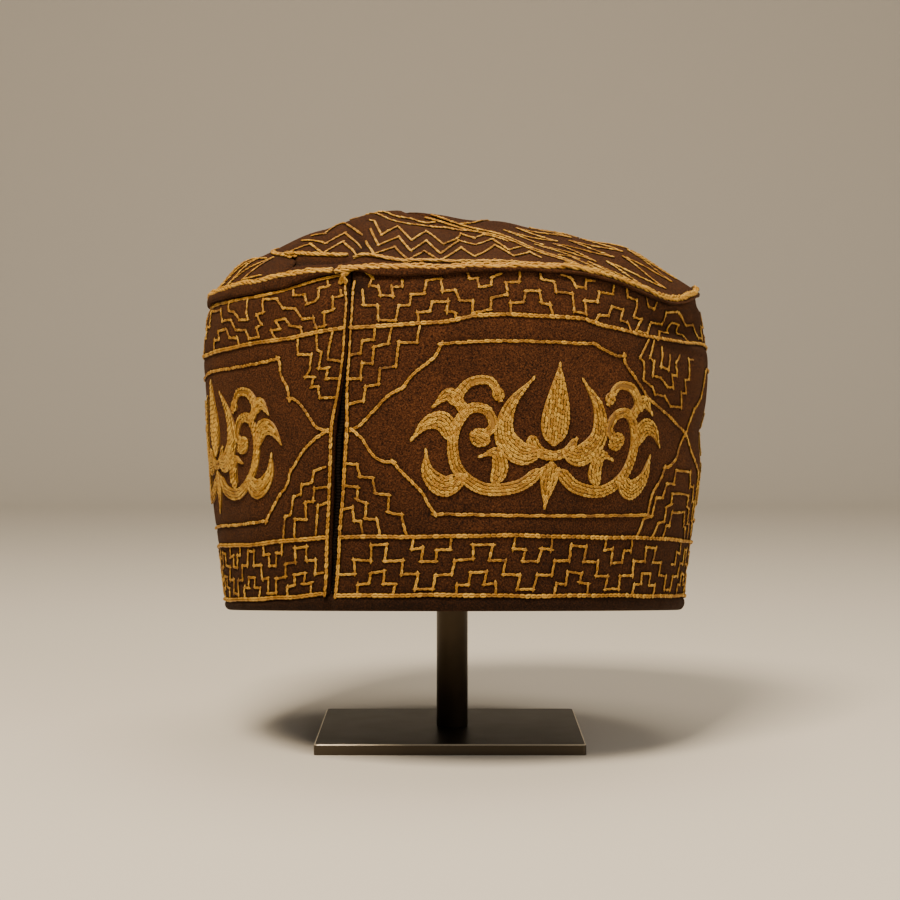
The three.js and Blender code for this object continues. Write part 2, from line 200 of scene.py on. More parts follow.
def bump(share):
    return np.where(np.abs(share) < 1, (np.cos(np.pi * share) + 1) / 2, 0.0)


def ease(share):
    share = np.clip(share, 0, 1)
    return share * share * (3 - 2 * share)


def around(angle):
    """An angle brought to between -180 and 180 degrees."""
    return (np.asarray(angle, float) + 180.0) % 360.0 - 180.0


def hand_waves(angle, height):
    """The soft unevenness of felt that was cut, sewn and worn by hand."""
    turn = np.radians(angle)
    return sum(depth * np.sin(count * turn + slant * height + start)
               for depth, count, slant, start in HAND_WAVES)


def fold_under_ridge(angle, height):
    """The wall's sharp step back under the ridge at the front right."""
    side = bump(around(angle - 63.0) / 34.0) ** 0.6
    return 1.5 * side * ease((height - 102.0) / 5.0) * (1 - ease((height - 117.0) / 8.0))


def wall_radius(angle, height):
    hem, shoulder, ridge = (ring_value(angle, column) for column in (HEM, SHOULDER, RIDGE))
    share = np.clip(height / SHOULDER_HEIGHT, 0, 1)
    radius = hem + (shoulder - hem) * (1 - (1 - share) ** BELLY_POWER)
    above = np.clip((height - SHOULDER_HEIGHT) / (RIDGE_HEIGHT - SHOULDER_HEIGHT), 0, None)
    radius = radius - (shoulder - ridge) * above**2
    for place, level, depth, half_angle, half_height in DENTS:
        side = bump(around(angle - place) / half_angle)
        radius = radius - depth * side * bump((height - level) / half_height)
    return radius


def wall_level(angle, height):
    droop = ring_value(angle, LEVEL) - RIDGE_HEIGHT
    return height + droop * ease((height - DROOP_FROM) / (RIDGE_HEIGHT - DROOP_FROM))


def wall_point(angle, height, offset=0.0):
    """A point of the wall's outer face, moved outwards by an offset."""
    angle, height = np.broadcast_arrays(np.asarray(angle, float), np.asarray(height, float))
    calm = ease(height / 12.0) * (1 - ease((height - 112.0) / 10.0))
    radius = wall_radius(angle, height) + hand_waves(angle, height) * calm + offset
    radius = radius - fold_under_ridge(angle, height)
    turn = np.radians(angle)
    return np.stack([radius * np.sin(turn), -radius * np.cos(turn), wall_level(angle, height)], -1)


def wall_tuck(height):
    return -TUCK_DEPTH * ease((height - TUCK_FROM) / TUCK_REACH)


def crown_folds(x, y, angle, rise):
    """Creases and slack in the crown's felt, in millimetres down."""
    lean = np.radians(35.0)
    along = x * np.cos(lean) + y * np.sin(lean)
    across = y * np.cos(lean) - x * np.sin(lean)
    soft = 0.45 * np.sin(along / 9.5 + 0.8) * np.sin(across / 12.0 + 0.3)
    soft = soft + 0.35 * np.sin(along / 5.1 - across / 7.0)
    pinch = 1.6 * crease_share(angle, rise)
    slack = 2.0 * bump(around(angle - 62.0) / 14.0) * bump((rise - 0.13) / 0.13)
    slack = slack + 1.5 * overlap_share(angle, rise)
    full = 3.0 * bump(around(angle + 88.0) / 44.0) * bump((rise - 0.13) / 0.13)
    full = full + 2.4 * bump(around(angle - 92.0) / 46.0) * bump((rise - 0.22) / 0.22)
    folds = (soft * ease(rise / 0.08) + pinch + slack - full) * (1 - ease((rise - 0.8) / 0.2))
    return folds - 1.5 * ease((rise - 0.72) / 0.26)


def crease_share(angle, rise):
    """1 in the crease over the seam, falling to 0 beside it."""
    across = np.abs(around(angle - crease_angle(rise))) * np.radians(RIDGE_RADIUS) * (1 - rise)
    return np.exp(-((across / 2.0) ** 2)) * bump(np.clip((rise - 0.26) / 0.3, -1, 1))


def overlap_share(angle, rise):
    """1 in the hollow under the front gore's folded edge, left of the seam."""
    window = ease((angle + 50.0) / 6.0) * (1 - ease((angle + 26.0) / 2.5))
    return window * bump((rise - 0.078) / 0.042)


def crown_point(angle, rise, lift=0.0):
    """A point of the crown's outer face, moved straight up by a lift."""
    angle, rise = np.broadcast_arrays(np.asarray(angle, float), np.asarray(rise, float))
    foot = wall_point(angle, np.full_like(angle, RIDGE_HEIGHT))
    x = foot[..., 0] + (APEX[0] - foot[..., 0]) * rise
    y = foot[..., 1] + (APEX[1] - foot[..., 1]) * rise
    climb = 1 - (1 - np.clip(rise, 0, 1)) ** ring_value(angle, FULLNESS)
    z = foot[..., 2] + (APEX[2] - foot[..., 2]) * climb
    to_hip = np.min([np.abs(around(angle - hip)) for hip in HIPS], axis=0)
    between = np.sin(np.pi * np.clip(rise, 0, 1)) ** HIP_POWER
    z = z - HIP_RISE * (1 - bump(to_hip / HIP_REACH)) * between
    return np.stack([x, y, z - crown_folds(x, y, angle, rise) + lift], -1)


def hip_angle(hip, rise):
    """Where two gores meet, at some rise over the crown."""
    wander = HIP_WANDER if hip in (HIPS[0], HIPS[0] + 360.0) else 0.0
    return hip - wander * ease((np.asarray(rise, float) - WANDER_FROM) / WANDER_REACH)


def lip_edge(angle):
    """The height of the lip's lower edge."""
    return np.interp(around(angle), *LIP_EDGE.T)


def crease_angle(rise):
    """Where the crown's felt is creased over the seam."""
    return -24.0 - 17.0 * ease((np.asarray(rise, float) - 0.25) / 0.3)


def outward(surface, first, second):
    """The outward direction of a surface, from two short steps on it."""
    step_first, step_second = (0.3, 0.3) if surface is wall_point else (0.3, 0.004)
    along = surface(first + step_first, second) - surface(first - step_first, second)
    up = surface(first, second + step_second) - surface(first, second - step_second)
    normal = np.cross(along, up)
    return normal / np.maximum(np.linalg.norm(normal, axis=-1, keepdims=True), 1e-9)


def seam_angle(height):
    share = np.asarray(height, float) / RIDGE_HEIGHT
    return SEAM_BOTTOM + SEAM_LEAN * share + SEAM_BOW * np.sin(np.pi * share)


def sewn_seam(height):
    """The middle of the sewn seam, which strays from its even line under the upper key band."""
    height = np.asarray(height, float)
    stray = ease((height - 64.0) / 34.0) * (1 - 0.7 * ease((height - 110.0) / 16.0))
    return seam_angle(height) + SEAM_STRAY * stray


def half_gap(height):
    """Half of the seam's opening, in degrees."""
    height = np.asarray(height, float)
    share = np.clip(height / RIDGE_HEIGHT, 0, 1)
    gap = GAP_BOTTOM + (GAP_TOP - GAP_BOTTOM) * share + GAP_BULGE * np.sin(np.pi * share)
    gap = gap * (1 - 0.66 * ease((height - 66.0) / 22.0)) + 1.3 * bump((height - 120.0) / 8.0)
    return np.degrees(gap / 2 / WALL_RADIUS)


def turn_directions(vectors):
    """Directions in the cap's frame, turned as the cap leans."""
    lean = math.radians(CAP_LEAN)
    x, y, z = vectors[..., 0], vectors[..., 1], vectors[..., 2]
    y_out = y * math.cos(lean) + z * math.sin(lean)
    z_out = z * math.cos(lean) - y * math.sin(lean)
    return np.stack([x, y_out, z_out], -1)


def to_frame(points):
    """Points in the cap's frame, in millimetres, brought to the shared frame in metres."""
    return (turn_directions(np.asarray(points, float)) + np.array(CAP_PLACE)) * MM


def linear(hex_colour):
    """An sRGB hex colour as linear RGBA."""
    channels = [int(hex_colour[i:i + 2], 16) / 255 for i in (1, 3, 5)]
    curve = [c / 12.92 if c <= 0.04045 else ((c + 0.055) / 1.055) ** 2.4 for c in channels]
    return (*curve, 1.0)


def add_node(tree, kind, inputs=None, **settings):
    """Adds one node: settings are its own properties, inputs are links or plain values."""
    node = tree.nodes.new(kind)
    for name, value in settings.items():
        setattr(node, name, value)
    for name, value in (inputs or {}).items():
        socket = node.inputs[name]
        if isinstance(value, bpy.types.NodeSocket):
            tree.links.new(value, socket)
        else:
            socket.default_value = value
    return node


def new_material(name):
    material = bpy.data.materials.new(name)
    material.use_nodes = True
    material.node_tree.nodes.clear()
    return material


def add_object(name, data):
    """A new object in the scene, at its origin."""
    thing = bpy.data.objects.new(name, data)
    bpy.context.collection.objects.link(thing)
    return thing


def mesh_object(name, points, faces):
    """A closed mesh with its doubles merged and its faces pointing out."""
    mesh = bpy.data.meshes.new(name)
    mesh.from_pydata(np.asarray(points, float).tolist(), [], faces)
    shape = bmesh.new()
    shape.from_mesh(mesh)
    bmesh.ops.remove_doubles(shape, verts=shape.verts, dist=1e-6)
    bmesh.ops.recalc_face_normals(shape, faces=shape.faces)
    shape.to_mesh(mesh)
    shape.free()
    mesh.polygons.foreach_set("use_smooth", [True] * len(mesh.polygons))
    return add_object(name, mesh)


def bridge(first, second):
    """Triangles between two rows of points that run side by side."""
    faces = []
    i = j = 0
    while i < len(first) - 1 or j < len(second) - 1:
        share_first = (i + 1) / (len(first) - 1)
        share_second = (j + 1) / (len(second) - 1)
        if j == len(second) - 1 or (i < len(first) - 1 and share_first <= share_second):
            faces.append((first[i], first[i + 1], second[j]))
            i += 1
        else:
            faces.append((first[i], second[j + 1], second[j]))
            j += 1
    return faces


def sheet_faces(outer, inner):
    """Points and faces of a thick sheet: two grids of the same columns, joined round their edges."""
    columns, rows = outer.shape[:2]
    inner_rows = inner.shape[1]
    outside = np.arange(columns * rows).reshape(columns, rows)
    inside = columns * rows + np.arange(columns * inner_rows).reshape(columns, inner_rows)
    faces = []
    for grid in (outside, inside):
        corners = (grid[:-1, :-1], grid[1:, :-1], grid[1:, 1:], grid[:-1, 1:])
        faces += np.stack([corner.ravel() for corner in corners], -1).tolist()
    for edge in (0, -1):
        rim = (outside[:-1, edge], outside[1:, edge], inside[1:, edge], inside[:-1, edge])
        faces += np.stack(rim, -1).tolist()
        faces += bridge(outside[edge].tolist(), inside[edge].tolist())
    return np.concatenate([outer.reshape(-1, 3), inner.reshape(-1, 3)]), faces


def swept_faces(loops, closed):
    """Points and faces of a bar made of loops of points, its ends shut or joined."""
    count, sides = loops.shape[:2]
    index = np.arange(count * sides).reshape(count, sides)
    following = np.roll(index, -1, axis=0) if closed else index[1:]
    current = index if closed else index[:-1]
    corners = (current, np.roll(current, -1, 1), np.roll(following, -1, 1), following)
    faces = np.stack([corner.ravel() for corner in corners], -1).tolist()
    if not closed:
        faces += [index[0].tolist()[::-1], index[-1].tolist()]
    return loops.reshape(-1, 3), faces


def give_values(mesh, name, values):
    """Keeps a number for each point, under the name that a tree or a material reads."""
    attribute = mesh.attributes.new(name, "FLOAT", "POINT")
    attribute.data.foreach_set("value", np.asarray(values, np.float32))


def finish_piece(thing, material, slot, *nodes):
    """Gives a piece its material, its body and the solids that it stands for."""
    thing.data.materials.clear()
    thing.data.materials.append(material)
    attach(thing, BODY)
    if nodes:
        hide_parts(*nodes)


class StitchPaths:
    """Stitched runs on one face of the cap, gathered before they become a mesh of edges."""

    def __init__(self, surface):
        self.surface = surface
        self.rows = []
        self.edges = []
        self.count = 0

    def run(self, first, second, lift, width, shade):
        """One run of stitches through points given in the face's own coordinates."""
        block = np.stack(np.broadcast_arrays(first, second, lift, width, shade), -1).astype(float)
        self.rows.append(block)
        index = np.arange(self.count, self.count + len(block))
        self.edges += np.stack([index[:-1], index[1:]], -1).tolist()
        self.count += len(block)

    def points(self):
        """The runs' points in the cap's frame, and the face's outward direction at each."""
        table = np.concatenate(self.rows)
        first, second, lift = table[:, 0], table[:, 1], table[:, 2:3]
        normal = outward(self.surface, first, second)
        offset = wall_tuck(second)[:, None] if self.surface is wall_point else 0.0
        return self.surface(first, second) + normal * (lift + offset), normal, table

    def as_object(self, name):
        """The runs as a mesh of edges in the shared frame, for a tree of Geometry Nodes."""
        spots, normal, table = self.points()
        mesh = bpy.data.meshes.new(name)
        mesh.from_pydata(to_frame(spots).tolist(), self.edges, [])
        direction = mesh.attributes.new("felt_normal", "FLOAT_VECTOR", "POINT")
        direction.data.foreach_set("vector", turn_directions(normal).astype(np.float32).ravel())
        give_values(mesh, "thread_width", table[:, 3])
        give_values(mesh, "run_shade", table[:, 4])
        return add_object(name, mesh)


def stitched_line(paths, corners, random, width, wobble):
    """A line of runs from corner to corner, drawn by an unsteady hand.

    Each run stops a little short of its corners, so that its end links meet there.
    """
    scale = np.array((DEGREE_LENGTH, 1.0))
    spots = np.array(corners, float) * scale
    spots = spots + random.normal(0, wobble, spots.shape)
    for start, end in zip(spots[:-1], spots[1:]):
        length = np.linalg.norm(end - start)
        if length < SHORTEST_RUN:
            continue
        way = (end - start) / length
        along = np.linspace(CORNER_TRIM, length - CORNER_TRIM, max(3, int(length / 1.3) + 1))
        bow = random.normal(0, 0.012) * length * np.sin(np.pi * along / length)
        shake = 0.05 * np.sin(along * 1.7 + random.uniform(0, 6))
        side = np.array([-way[1], way[0]])
        line = (start + along[:, None] * way + (bow + shake)[:, None] * side) / scale
        tone = random.uniform(0.3, 0.7)
        paths.run(line[:, 0], line[:, 1], LINE_LIFT, width * random.uniform(0.93, 1.07), tone)


def stitched_curve(paths, first, second, random, width, wobble, lift):
    """One long run through many points, with a slow wander across its way."""
    steps = np.arange(len(first))
    phase = random.uniform(0, 6, 4)
    if np.ptp(second) > np.ptp(first):
        wander = np.sin(steps * 0.09 + phase[2]) + 0.6 * np.sin(steps * 0.31 + phase[3])
        first = first + wobble * wander / DEGREE_LENGTH
    else:
        wander = np.sin(steps * 0.11 + phase[0]) + 0.6 * np.sin(steps * 0.27 + phase[1])
        second = second + wobble * wander
    paths.run(first, second, lift, width, 0.5)


def wall_angle(turn, height):
    """The angle on the wall at some degrees from the seam."""
    return seam_angle(height) + np.asarray(turn, float)


def as_angles(corners):
    """Corners given as turn and height, changed to angle and height."""
    return [(float(wall_angle(turn, height)), height) for turn, height in corners]


def level_of(line, turn):
    """The height of a line that runs round the wall, at some turn."""
    return np.interp(turn, *line.T)


def smooth_curve(points, count):
    """Points along a smooth curve through the given ones."""
    points = np.array(points, float)
    padded = np.concatenate([[2 * points[0] - points[1]], points, [2 * points[-1] - points[-2]]])
    spot = np.linspace(0, len(points) - 1 - 1e-9, count)
    index = spot.astype(int)
    part = (spot - index)[:, None]
    before, start, end, after = (padded[index + k] for k in range(4))
    bend = 2 * before - 5 * start + 4 * end - after + part * (3 * (start - end) + after - before)
    return start + 0.5 * part * (end - before + part * bend)


def seam_side(side, low, high):
    """Angle and height along a line of stitches beside the seam's edge."""
    heights = np.linspace(low, high, 110)
    inset = (1.25 if side > 0 else 0.8) - 0.35 * ease((heights - 66.0) / 22.0)
    turn = half_gap(heights) + np.degrees(np.maximum(inset, 0.6) / WALL_RADIUS)
    return sewn_seam(heights) + side * turn, heights


def draw_borders(paths, random):
    """Straight chain-stitched lines: hem line, band lines and the two sides of the seam."""
    for line, last in ((BOTTOM_LINE, LINE_END), (LOW_LINE, LINE_END), (BAND_LINE, BAND_LINE_END)):
        turns = np.linspace(LINE_START, last, 520)
        heights = level_of(line, turns)
        stitched_curve(paths, wall_angle(turns, heights), heights, random,
                       width=1.0, wobble=0.16, lift=0.25)
    for side, turn in ((1, 0), (-1, 360)):
        foot = float(level_of(BOTTOM_LINE, turn))
        angles, heights = seam_side(side, foot, SEAM_LINE_TOP)
        width = 0.92 - 0.32 * ease((heights - 62.0) / 30.0)
        stitched_curve(paths, angles, heights, random, width, wobble=0.12, lift=0.25)
    turns = np.linspace(*LIP_LINE[[0, -1], 0], 120)
    heights = level_of(LIP_LINE, turns)
    stitched_curve(paths, wall_angle(turns, heights), heights, random,
                   width=0.85, wobble=0.14, lift=0.2)


def key_line(turns, levels):
    """Corners of a stepped key line between turning places, with two steps on each flank."""
    corners = []
    for index, (turn, following) in enumerate(zip(turns[:-1], turns[1:])):
        tread = (following - turn) / 3
        edges = (turn, turn + tread / 2, turn + 1.5 * tread, turn + 2.5 * tread, following)
        for left, right, level in zip(edges[:-1], edges[1:], levels[::-1] if index % 2 else levels):
            corners += [(left, level), (right, level)]
    kept = corners[:1]
    for place, corner in enumerate(corners[1:-1], start=1):
        straight = corners[place - 1][1] == corner[1] == corners[place + 1][1]
        if not straight and corner != kept[-1]:
            kept.append(corner)
    return kept + corners[-1:]


def small_pyramid(centre, tread, base, first, top, wide=1.15, narrow=0.47):
    """Corners of a two-step pyramid that stands on, or hangs from, a line."""
    wide, narrow = wide * tread, narrow * tread
    return [(centre - wide, base), (centre - wide, first), (centre - narrow, first),
            (centre - narrow, top), (centre + narrow, top), (centre + narrow, first),
            (centre + wide, first), (centre + wide, base)]


# The upper key band on the front, which was sewn unevenly: a row for each stretch of its key line
# and for each small pyramid, with its corners in degrees from the seam and height
DRAWN_FRETS = (
    ((-0.9, 117.8), (-0.6, 115.5), (-2.6, 115.2), (-2.3, 110.6), (-4.2, 110.0), (-4.2, 105.2),
     (-6.3, 104.8), (-7.1, 108.2), (-9.9, 108.0), (-12.0, 112.2), (-15.8, 113.2), (-17.9, 117.2),
     (-22.1, 117.5), (-21.4, 112.6), (-23.3, 112.0), (-21.3, 107.6), (-23.0, 106.8), (-22.0, 103.2),
     (-25.3, 103.0), (-26.7, 106.6), (-31.1, 107.8), (-33.5, 111.8), (-38.2, 112.6), (-41.0, 117.6),
     (-47.5, 118.2)),
    ((-4.9, 122.0), (-4.4, 119.8), (-6.3, 119.4), (-6.1, 115.5), (-7.0, 114.2), (-9.0, 113.8),
     (-10.1, 117.0), (-12.9, 117.4), (-13.6, 120.2)),
    ((-17.3, 102.2), (-18.4, 105.0), (-15.9, 105.2), (-17.2, 108.5), (-14.7, 108.8),
     (-13.1, 106.0), (-10.4, 105.2), (-9.6, 102.5)),
    ((-37.3, 120.0), (-35.5, 116.2), (-32.8, 115.0), (-29.8, 111.2), (-26.5, 110.5),
     (-27.5, 114.4), (-28.1, 119.2)),
    ((-42.8, 102.2), (-43.0, 105.4), (-39.6, 105.2), (-40.6, 109.2), (-35.7, 108.8),
     (-33.9, 105.0), (-30.3, 104.2), (-29.2, 101.4)),
    ((4.3, 124.8), (5.7, 122.8), (5.4, 119.5), (7.7, 118.2), (8.2, 115.0), (11.0, 114.8),
     (10.5, 118.3), (12.7, 118.5), (12.4, 121.4)),
    ((4.1, 117.0), (4.8, 112.0), (7.9, 111.5), (8.1, 106.0), (11.9, 105.8), (12.3, 111.0),
     (14.8, 111.2), (14.9, 115.2), (17.6, 115.6), (18.0, 121.2), (20.7, 121.6), (21.3, 116.6),
     (24.2, 117.0), (25.0, 113.0), (27.7, 113.0), (27.7, 108.2), (31.3, 109.4), (31.6, 114.2),
     (35.0, 115.6), (34.9, 120.4), (37.9, 120.8), (38.1, 124.4)),
    ((16.6, 105.2), (16.3, 108.3), (19.1, 108.8), (19.2, 112.4), (22.5, 112.4), (22.3, 108.8),
     (24.1, 108.5), (24.3, 106.2)),
    ((26.4, 124.4), (27.1, 121.8), (28.7, 122.0), (29.1, 118.2), (31.4, 118.6), (31.7, 122.6),
     (33.6, 123.6)),
    ((35.9, 108.9), (35.5, 112.2), (38.5, 112.7), (38.9, 117.2), (42.1, 117.2), (42.5, 112.8),
     (44.5, 112.0), (44.9, 108.9)),
    ((42.8, 124.6), (43.1, 122.4), (45.9, 122.0), (46.1, 117.3), (49.7, 116.9), (49.9, 110.3),
     (52.9, 109.5), (52.8, 115.0), (56.0, 115.2), (57.1, 119.8), (61.4, 120.6), (62.0, 124.8)),
    ((48.3, 124.8), (50.3, 123.8), (51.1, 120.5), (53.7, 120.5), (54.3, 123.8), (56.6, 124.4)),
    ((54.9, 106.8), (56.1, 109.8), (58.8, 110.6), (60.2, 114.6), (63.8, 114.6), (62.6, 109.6),
     (64.8, 108.7), (65.2, 105.4)),
    ((66.3, 125.0), (66.2, 121.5), (69.6, 121.8), (67.6, 112.8), (70.8, 113.0), (66.9, 105.9),
     (70.9, 105.9), (75.4, 113.4), (81.4, 115.0), (81.6, 120.6), (87.8, 122.0), (90.4, 119.4),
     (96.4, 114.6), (101.0, 114.2), (101.8, 108.8), (106.0, 108.4), (107.2, 112.8), (112.0, 113.2),
     (112.4, 118.2), (115.4, 118.4), (115.8, 123.0), (118.5, 123.2)),
    ((73.2, 124.4), (73.6, 120.8), (76.4, 120.8), (77.3, 124.4)),
    ((74.4, 103.9), (78.3, 109.4), (82.6, 109.8), (86.4, 116.6), (91.4, 115.4), (88.8, 110.4),
     (92.0, 110.0), (91.6, 105.4)),
)


def high_turns(start, end, low):
    """Turning places of the upper key band in one panel, where it is made by rule."""
    if start == 0:
        return []
    if end == 360:
        return list(np.linspace(start, LEFT_HIGH_END, 5))
    return list(np.linspace(RIGHT_HIGH_START, end, 7)) if start < 100 else low


def draw_frets(paths, random):
    """The two key bands round the wall, with small pyramids between their steps."""
    for corners in DRAWN_FRETS:
        stitched_line(paths, as_angles(corners), random, FRET_WIDTH, wobble=0.16)
    for start, end, count in PANELS:
        first, last = max(start, KEY_START), min(end, KEY_END)

        def stitch(corners, line):
            """Stitches one line over another, cut off beside the seam."""
            kept = [(min(max(turn, first), last), height) for turn, height in corners]
            kept = [spot for i, spot in enumerate(kept) if i == 0 or spot != kept[i - 1]]
            while len(kept) > 1 and kept[0][0] == kept[1][0] == first:
                kept = kept[1:]
            while len(kept) > 1 and kept[-1][0] == kept[-2][0] == last:
                kept = kept[:-1]
            placed = [(turn, float(level_of(line, turn)) + height) for turn, height in kept]
            stitched_line(paths, as_angles(placed), random, FRET_WIDTH, wobble=0.26)

        low = list(np.linspace(start, end, 2 * count + 1))
        high = high_turns(start, end, low)
        stitch(key_line(low, LOW_STEPS), BOTTOM_LINE)
        for index, turn in enumerate(low[:-1]):
            tread = (end - start) / count / 6
            if index % 2:
                stitch(small_pyramid(turn, tread, *LOW_STANDING), BOTTOM_LINE)
            elif turn > 0:
                stitch(small_pyramid(turn, tread, *LOW_HANGING), BOTTOM_LINE)
        if not high:
            continue
        stitch(key_line(high, HIGH_STEPS), BAND_LINE)
        for index, turn in enumerate(high[:-1]):
            tread = (high[index + 1] - turn) / 3
            if index % 2:
                top = float(lip_edge(wall_angle(turn, 120.0)) - level_of(BAND_LINE, turn)) + 0.4
                stitch(small_pyramid(turn, tread, top, *HIGH_HANGING, 1.0, 0.42), BAND_LINE)
            else:
                stitch(small_pyramid(turn, tread, *HIGH_STANDING), BAND_LINE)


# Half of each nested stepped pyramid beside a panel's edge: degrees from the edge, and height
LOW_WEDGES = (
    ((2.1, 53.4), (4.9, 53.2), (5.7, 48.2), (8.6, 48.0), (9.5, 42.6), (12.2, 42.2), (12.7, 35.2),
     (15.9, 34.2), (16.9, 27.6)),
    ((2.0, 44.8), (5.4, 44.4), (5.5, 39.8), (7.3, 39.2), (7.6, 33.3), (10.4, 32.8), (11.3, 27.6)),
    ((2.2, 37.1), (4.1, 36.9), (4.8, 32.2), (6.4, 31.7), (7.0, 27.6)),
)
HIGH_WEDGES = (
    ((2.2, 75.8), (5.6, 76.1), (5.9, 81.2), (8.7, 82.0), (8.9, 88.2), (12.3, 88.8), (12.5, 97.2),
     (16.4, 97.6), (17.0, 103.2)),
    ((2.3, 84.4), (4.8, 84.8), (5.1, 89.4), (7.3, 90.4), (7.6, 96.2), (10.5, 97.2), (11.2, 103.0)),
    ((2.3, 93.2), (4.6, 93.8), (4.9, 98.3), (7.2, 98.8), (7.5, 103.0)),
)


# The same left of the seam, where they were sewn narrower
LEFT_LOW_WEDGES = (
    ((2.8, 52.2), (5.8, 51.0), (6.2, 46.5), (8.9, 46.0), (9.0, 42.5), (11.4, 41.8), (11.8, 35.2),
     (13.9, 34.5), (14.2, 25.9)),
    ((2.4, 45.0), (5.5, 44.5), (6.0, 39.8), (7.7, 39.0), (7.5, 33.2), (10.5, 33.0), (10.9, 26.4)),
    ((2.6, 39.0), (4.4, 38.5), (4.7, 27.2)),
)
LEFT_HIGH_WEDGES = (
    ((0.9, 78.2), (4.9, 78.2), (5.0, 82.2), (7.1, 82.5), (6.4, 86.0), (8.4, 86.2), (7.4, 89.5),
     (7.1, 94.5), (10.4, 94.8), (10.6, 100.8)),
    ((0.4, 85.2), (3.3, 85.2), (3.0, 88.8), (5.3, 89.0), (4.6, 95.0), (5.7, 96.0), (6.0, 101.8)),
    ((0.2, 91.6), (2.6, 92.2), (2.8, 94.5), (2.1, 102.0)),
)


# The upper ones at the front right, whole, where the felt was pulled to the left as it was sewn
PULLED_EDGE = 91.5
PULLED_WEDGES = (
    ((70.6, 102.2), (67.5, 95.0), (69.0, 93.4), (69.4, 86.4), (72.9, 84.0), (74.0, 81.8),
     (77.8, 81.6), (80.9, 77.6), (86.3, 77.8), (85.4, 83.4), (87.9, 84.0), (86.8, 88.8),
     (89.0, 89.8), (88.0, 97.2), (91.5, 97.8)),
    ((72.6, 102.4), (71.0, 95.6), (72.6, 93.8), (72.5, 88.8), (75.6, 88.2), (78.5, 85.2),
     (80.9, 85.2), (80.0, 89.8), (82.1, 90.6), (81.3, 95.2), (83.2, 97.4)),
    ((76.2, 99.6), (75.4, 92.6), (78.6, 91.8), (78.8, 96.6)),
)


def draw_wedges(paths, random):
    """Nested stepped pyramids where two panels meet, above and below the cartouches."""
    for start, end, _ in PANELS:
        for edge, side in ((start, 1), (end, -1)):
            wedges = LOW_WEDGES + HIGH_WEDGES
            if edge == PULLED_EDGE:
                wedges = LOW_WEDGES
            if edge == 360:
                wedges = LEFT_LOW_WEDGES + LEFT_HIGH_WEDGES
            for wedge in wedges:
                last_turn = edge + side * wedge[-1][0]
                corners = [(edge + side * turn, height) for turn, height in wedge]
                if wedge[-1][1] > 90:
                    limit = float(level_of(BAND_LINE, last_turn)) - 0.9
                    corners = [(turn, min(height, limit)) for turn, height in corners[:-1]]
                    corners.append((last_turn, limit))
                if edge not in (0, 360):
                    corners[0] = (edge, corners[0][1])
                stitched_line(paths, as_angles(corners), random, WEDGE_WIDTH, wobble=0.25)
    for wedge in PULLED_WEDGES:
        stitched_line(paths, as_angles(wedge), random, WEDGE_WIDTH, wobble=0.2)


# Arcs of a cartouche's outline: degrees from the panel's left edge at the same height, and height
FRONT_CARTOUCHE = (
    ((3.2, 65.8), (5.0, 67.6), (7.5, 71.8), (10.6, 77.4), (14.0, 81.0)),
    ((14.0, 81.0), (15.6, 85.0), (18.6, 89.6), (20.4, 92.4), (21.5, 96.8)),
    ((21.5, 96.8), (30.0, 97.8), (38.0, 98.2), (55.0, 98.4)),
    ((55.0, 98.4), (58.0, 96.2), (60.4, 94.8), (62.9, 94.8)),
    ((62.9, 94.8), (63.6, 91.5), (67.1, 86.4), (72.4, 79.4), (80.6, 74.0), (90.0, 68.4)),
    ((90.0, 68.4), (87.6, 63.4), (86.0, 58.2), (83.6, 55.2), (81.0, 53.8)),
    ((81.0, 53.8), (79.9, 49.0), (77.6, 43.6), (76.9, 35.4)),
    ((76.9, 35.4), (60.0, 34.4), (42.0, 34.0), (23.0, 34.5)),
    ((23.0, 34.5), (21.0, 39.0), (19.4, 43.0), (15.8, 48.4), (12.8, 53.6)),
    ((12.8, 53.6), (9.8, 54.4), (7.8, 57.2), (5.4, 62.6), (3.2, 65.8)),
)
# Arcs of half an outline, in degrees from a panel's edge: any side panel's, and the left one's
SIDE_HALF = (
    ((3.2, 66.0), (6.0, 67.2), (9.0, 71.6), (12.8, 78.0)),
    ((12.8, 78.0), (14.2, 83.0), (14.8, 89.0), (15.8, 95.4)),
    ((15.8, 95.4), (30.0, 96.8), (45.0, 97.2)),
    ((3.2, 66.0), (6.0, 64.6), (9.0, 60.2), (12.8, 53.8)),
    ((12.8, 53.8), (14.2, 48.6), (14.8, 42.6), (15.8, 36.0)),
    ((15.8, 36.0), (30.0, 34.6), (45.0, 34.2)),
)
PULLED_HALF = (
    ((-0.9, 68.4), (0.2, 72.5), (1.9, 78.0)),
    ((1.9, 78.0), (6.4, 83.5), (8.3, 87.5), (9.5, 91.2)),
    ((9.5, 91.2), (12.6, 96.4), (28.0, 96.8), (45.0, 97.2)),
    ((-0.9, 68.4), (2.6, 63.6), (6.8, 59.0), (12.8, 53.8)),
) + SIDE_HALF[4:]
LEFT_HALF = (
    ((2.8, 65.8), (5.4, 67.2), (7.3, 71.2), (9.8, 76.0), (11.4, 78.2), (12.8, 78.5)),
    ((12.8, 78.5), (13.5, 83.0), (15.2, 87.5), (15.6, 92.5), (16.2, 94.0)),
    ((16.2, 94.0), (21.4, 93.2), (30.6, 92.8), (45.0, 93.4)),
    ((2.8, 65.8), (7.8, 60.0), (12.5, 51.0)),
    ((12.5, 51.0), (13.6, 46.0), (16.0, 42.0), (18.7, 36.4), (20.3, 33.0)),
    ((20.3, 33.0), (33.0, 32.2), (45.0, 32.4)),
)


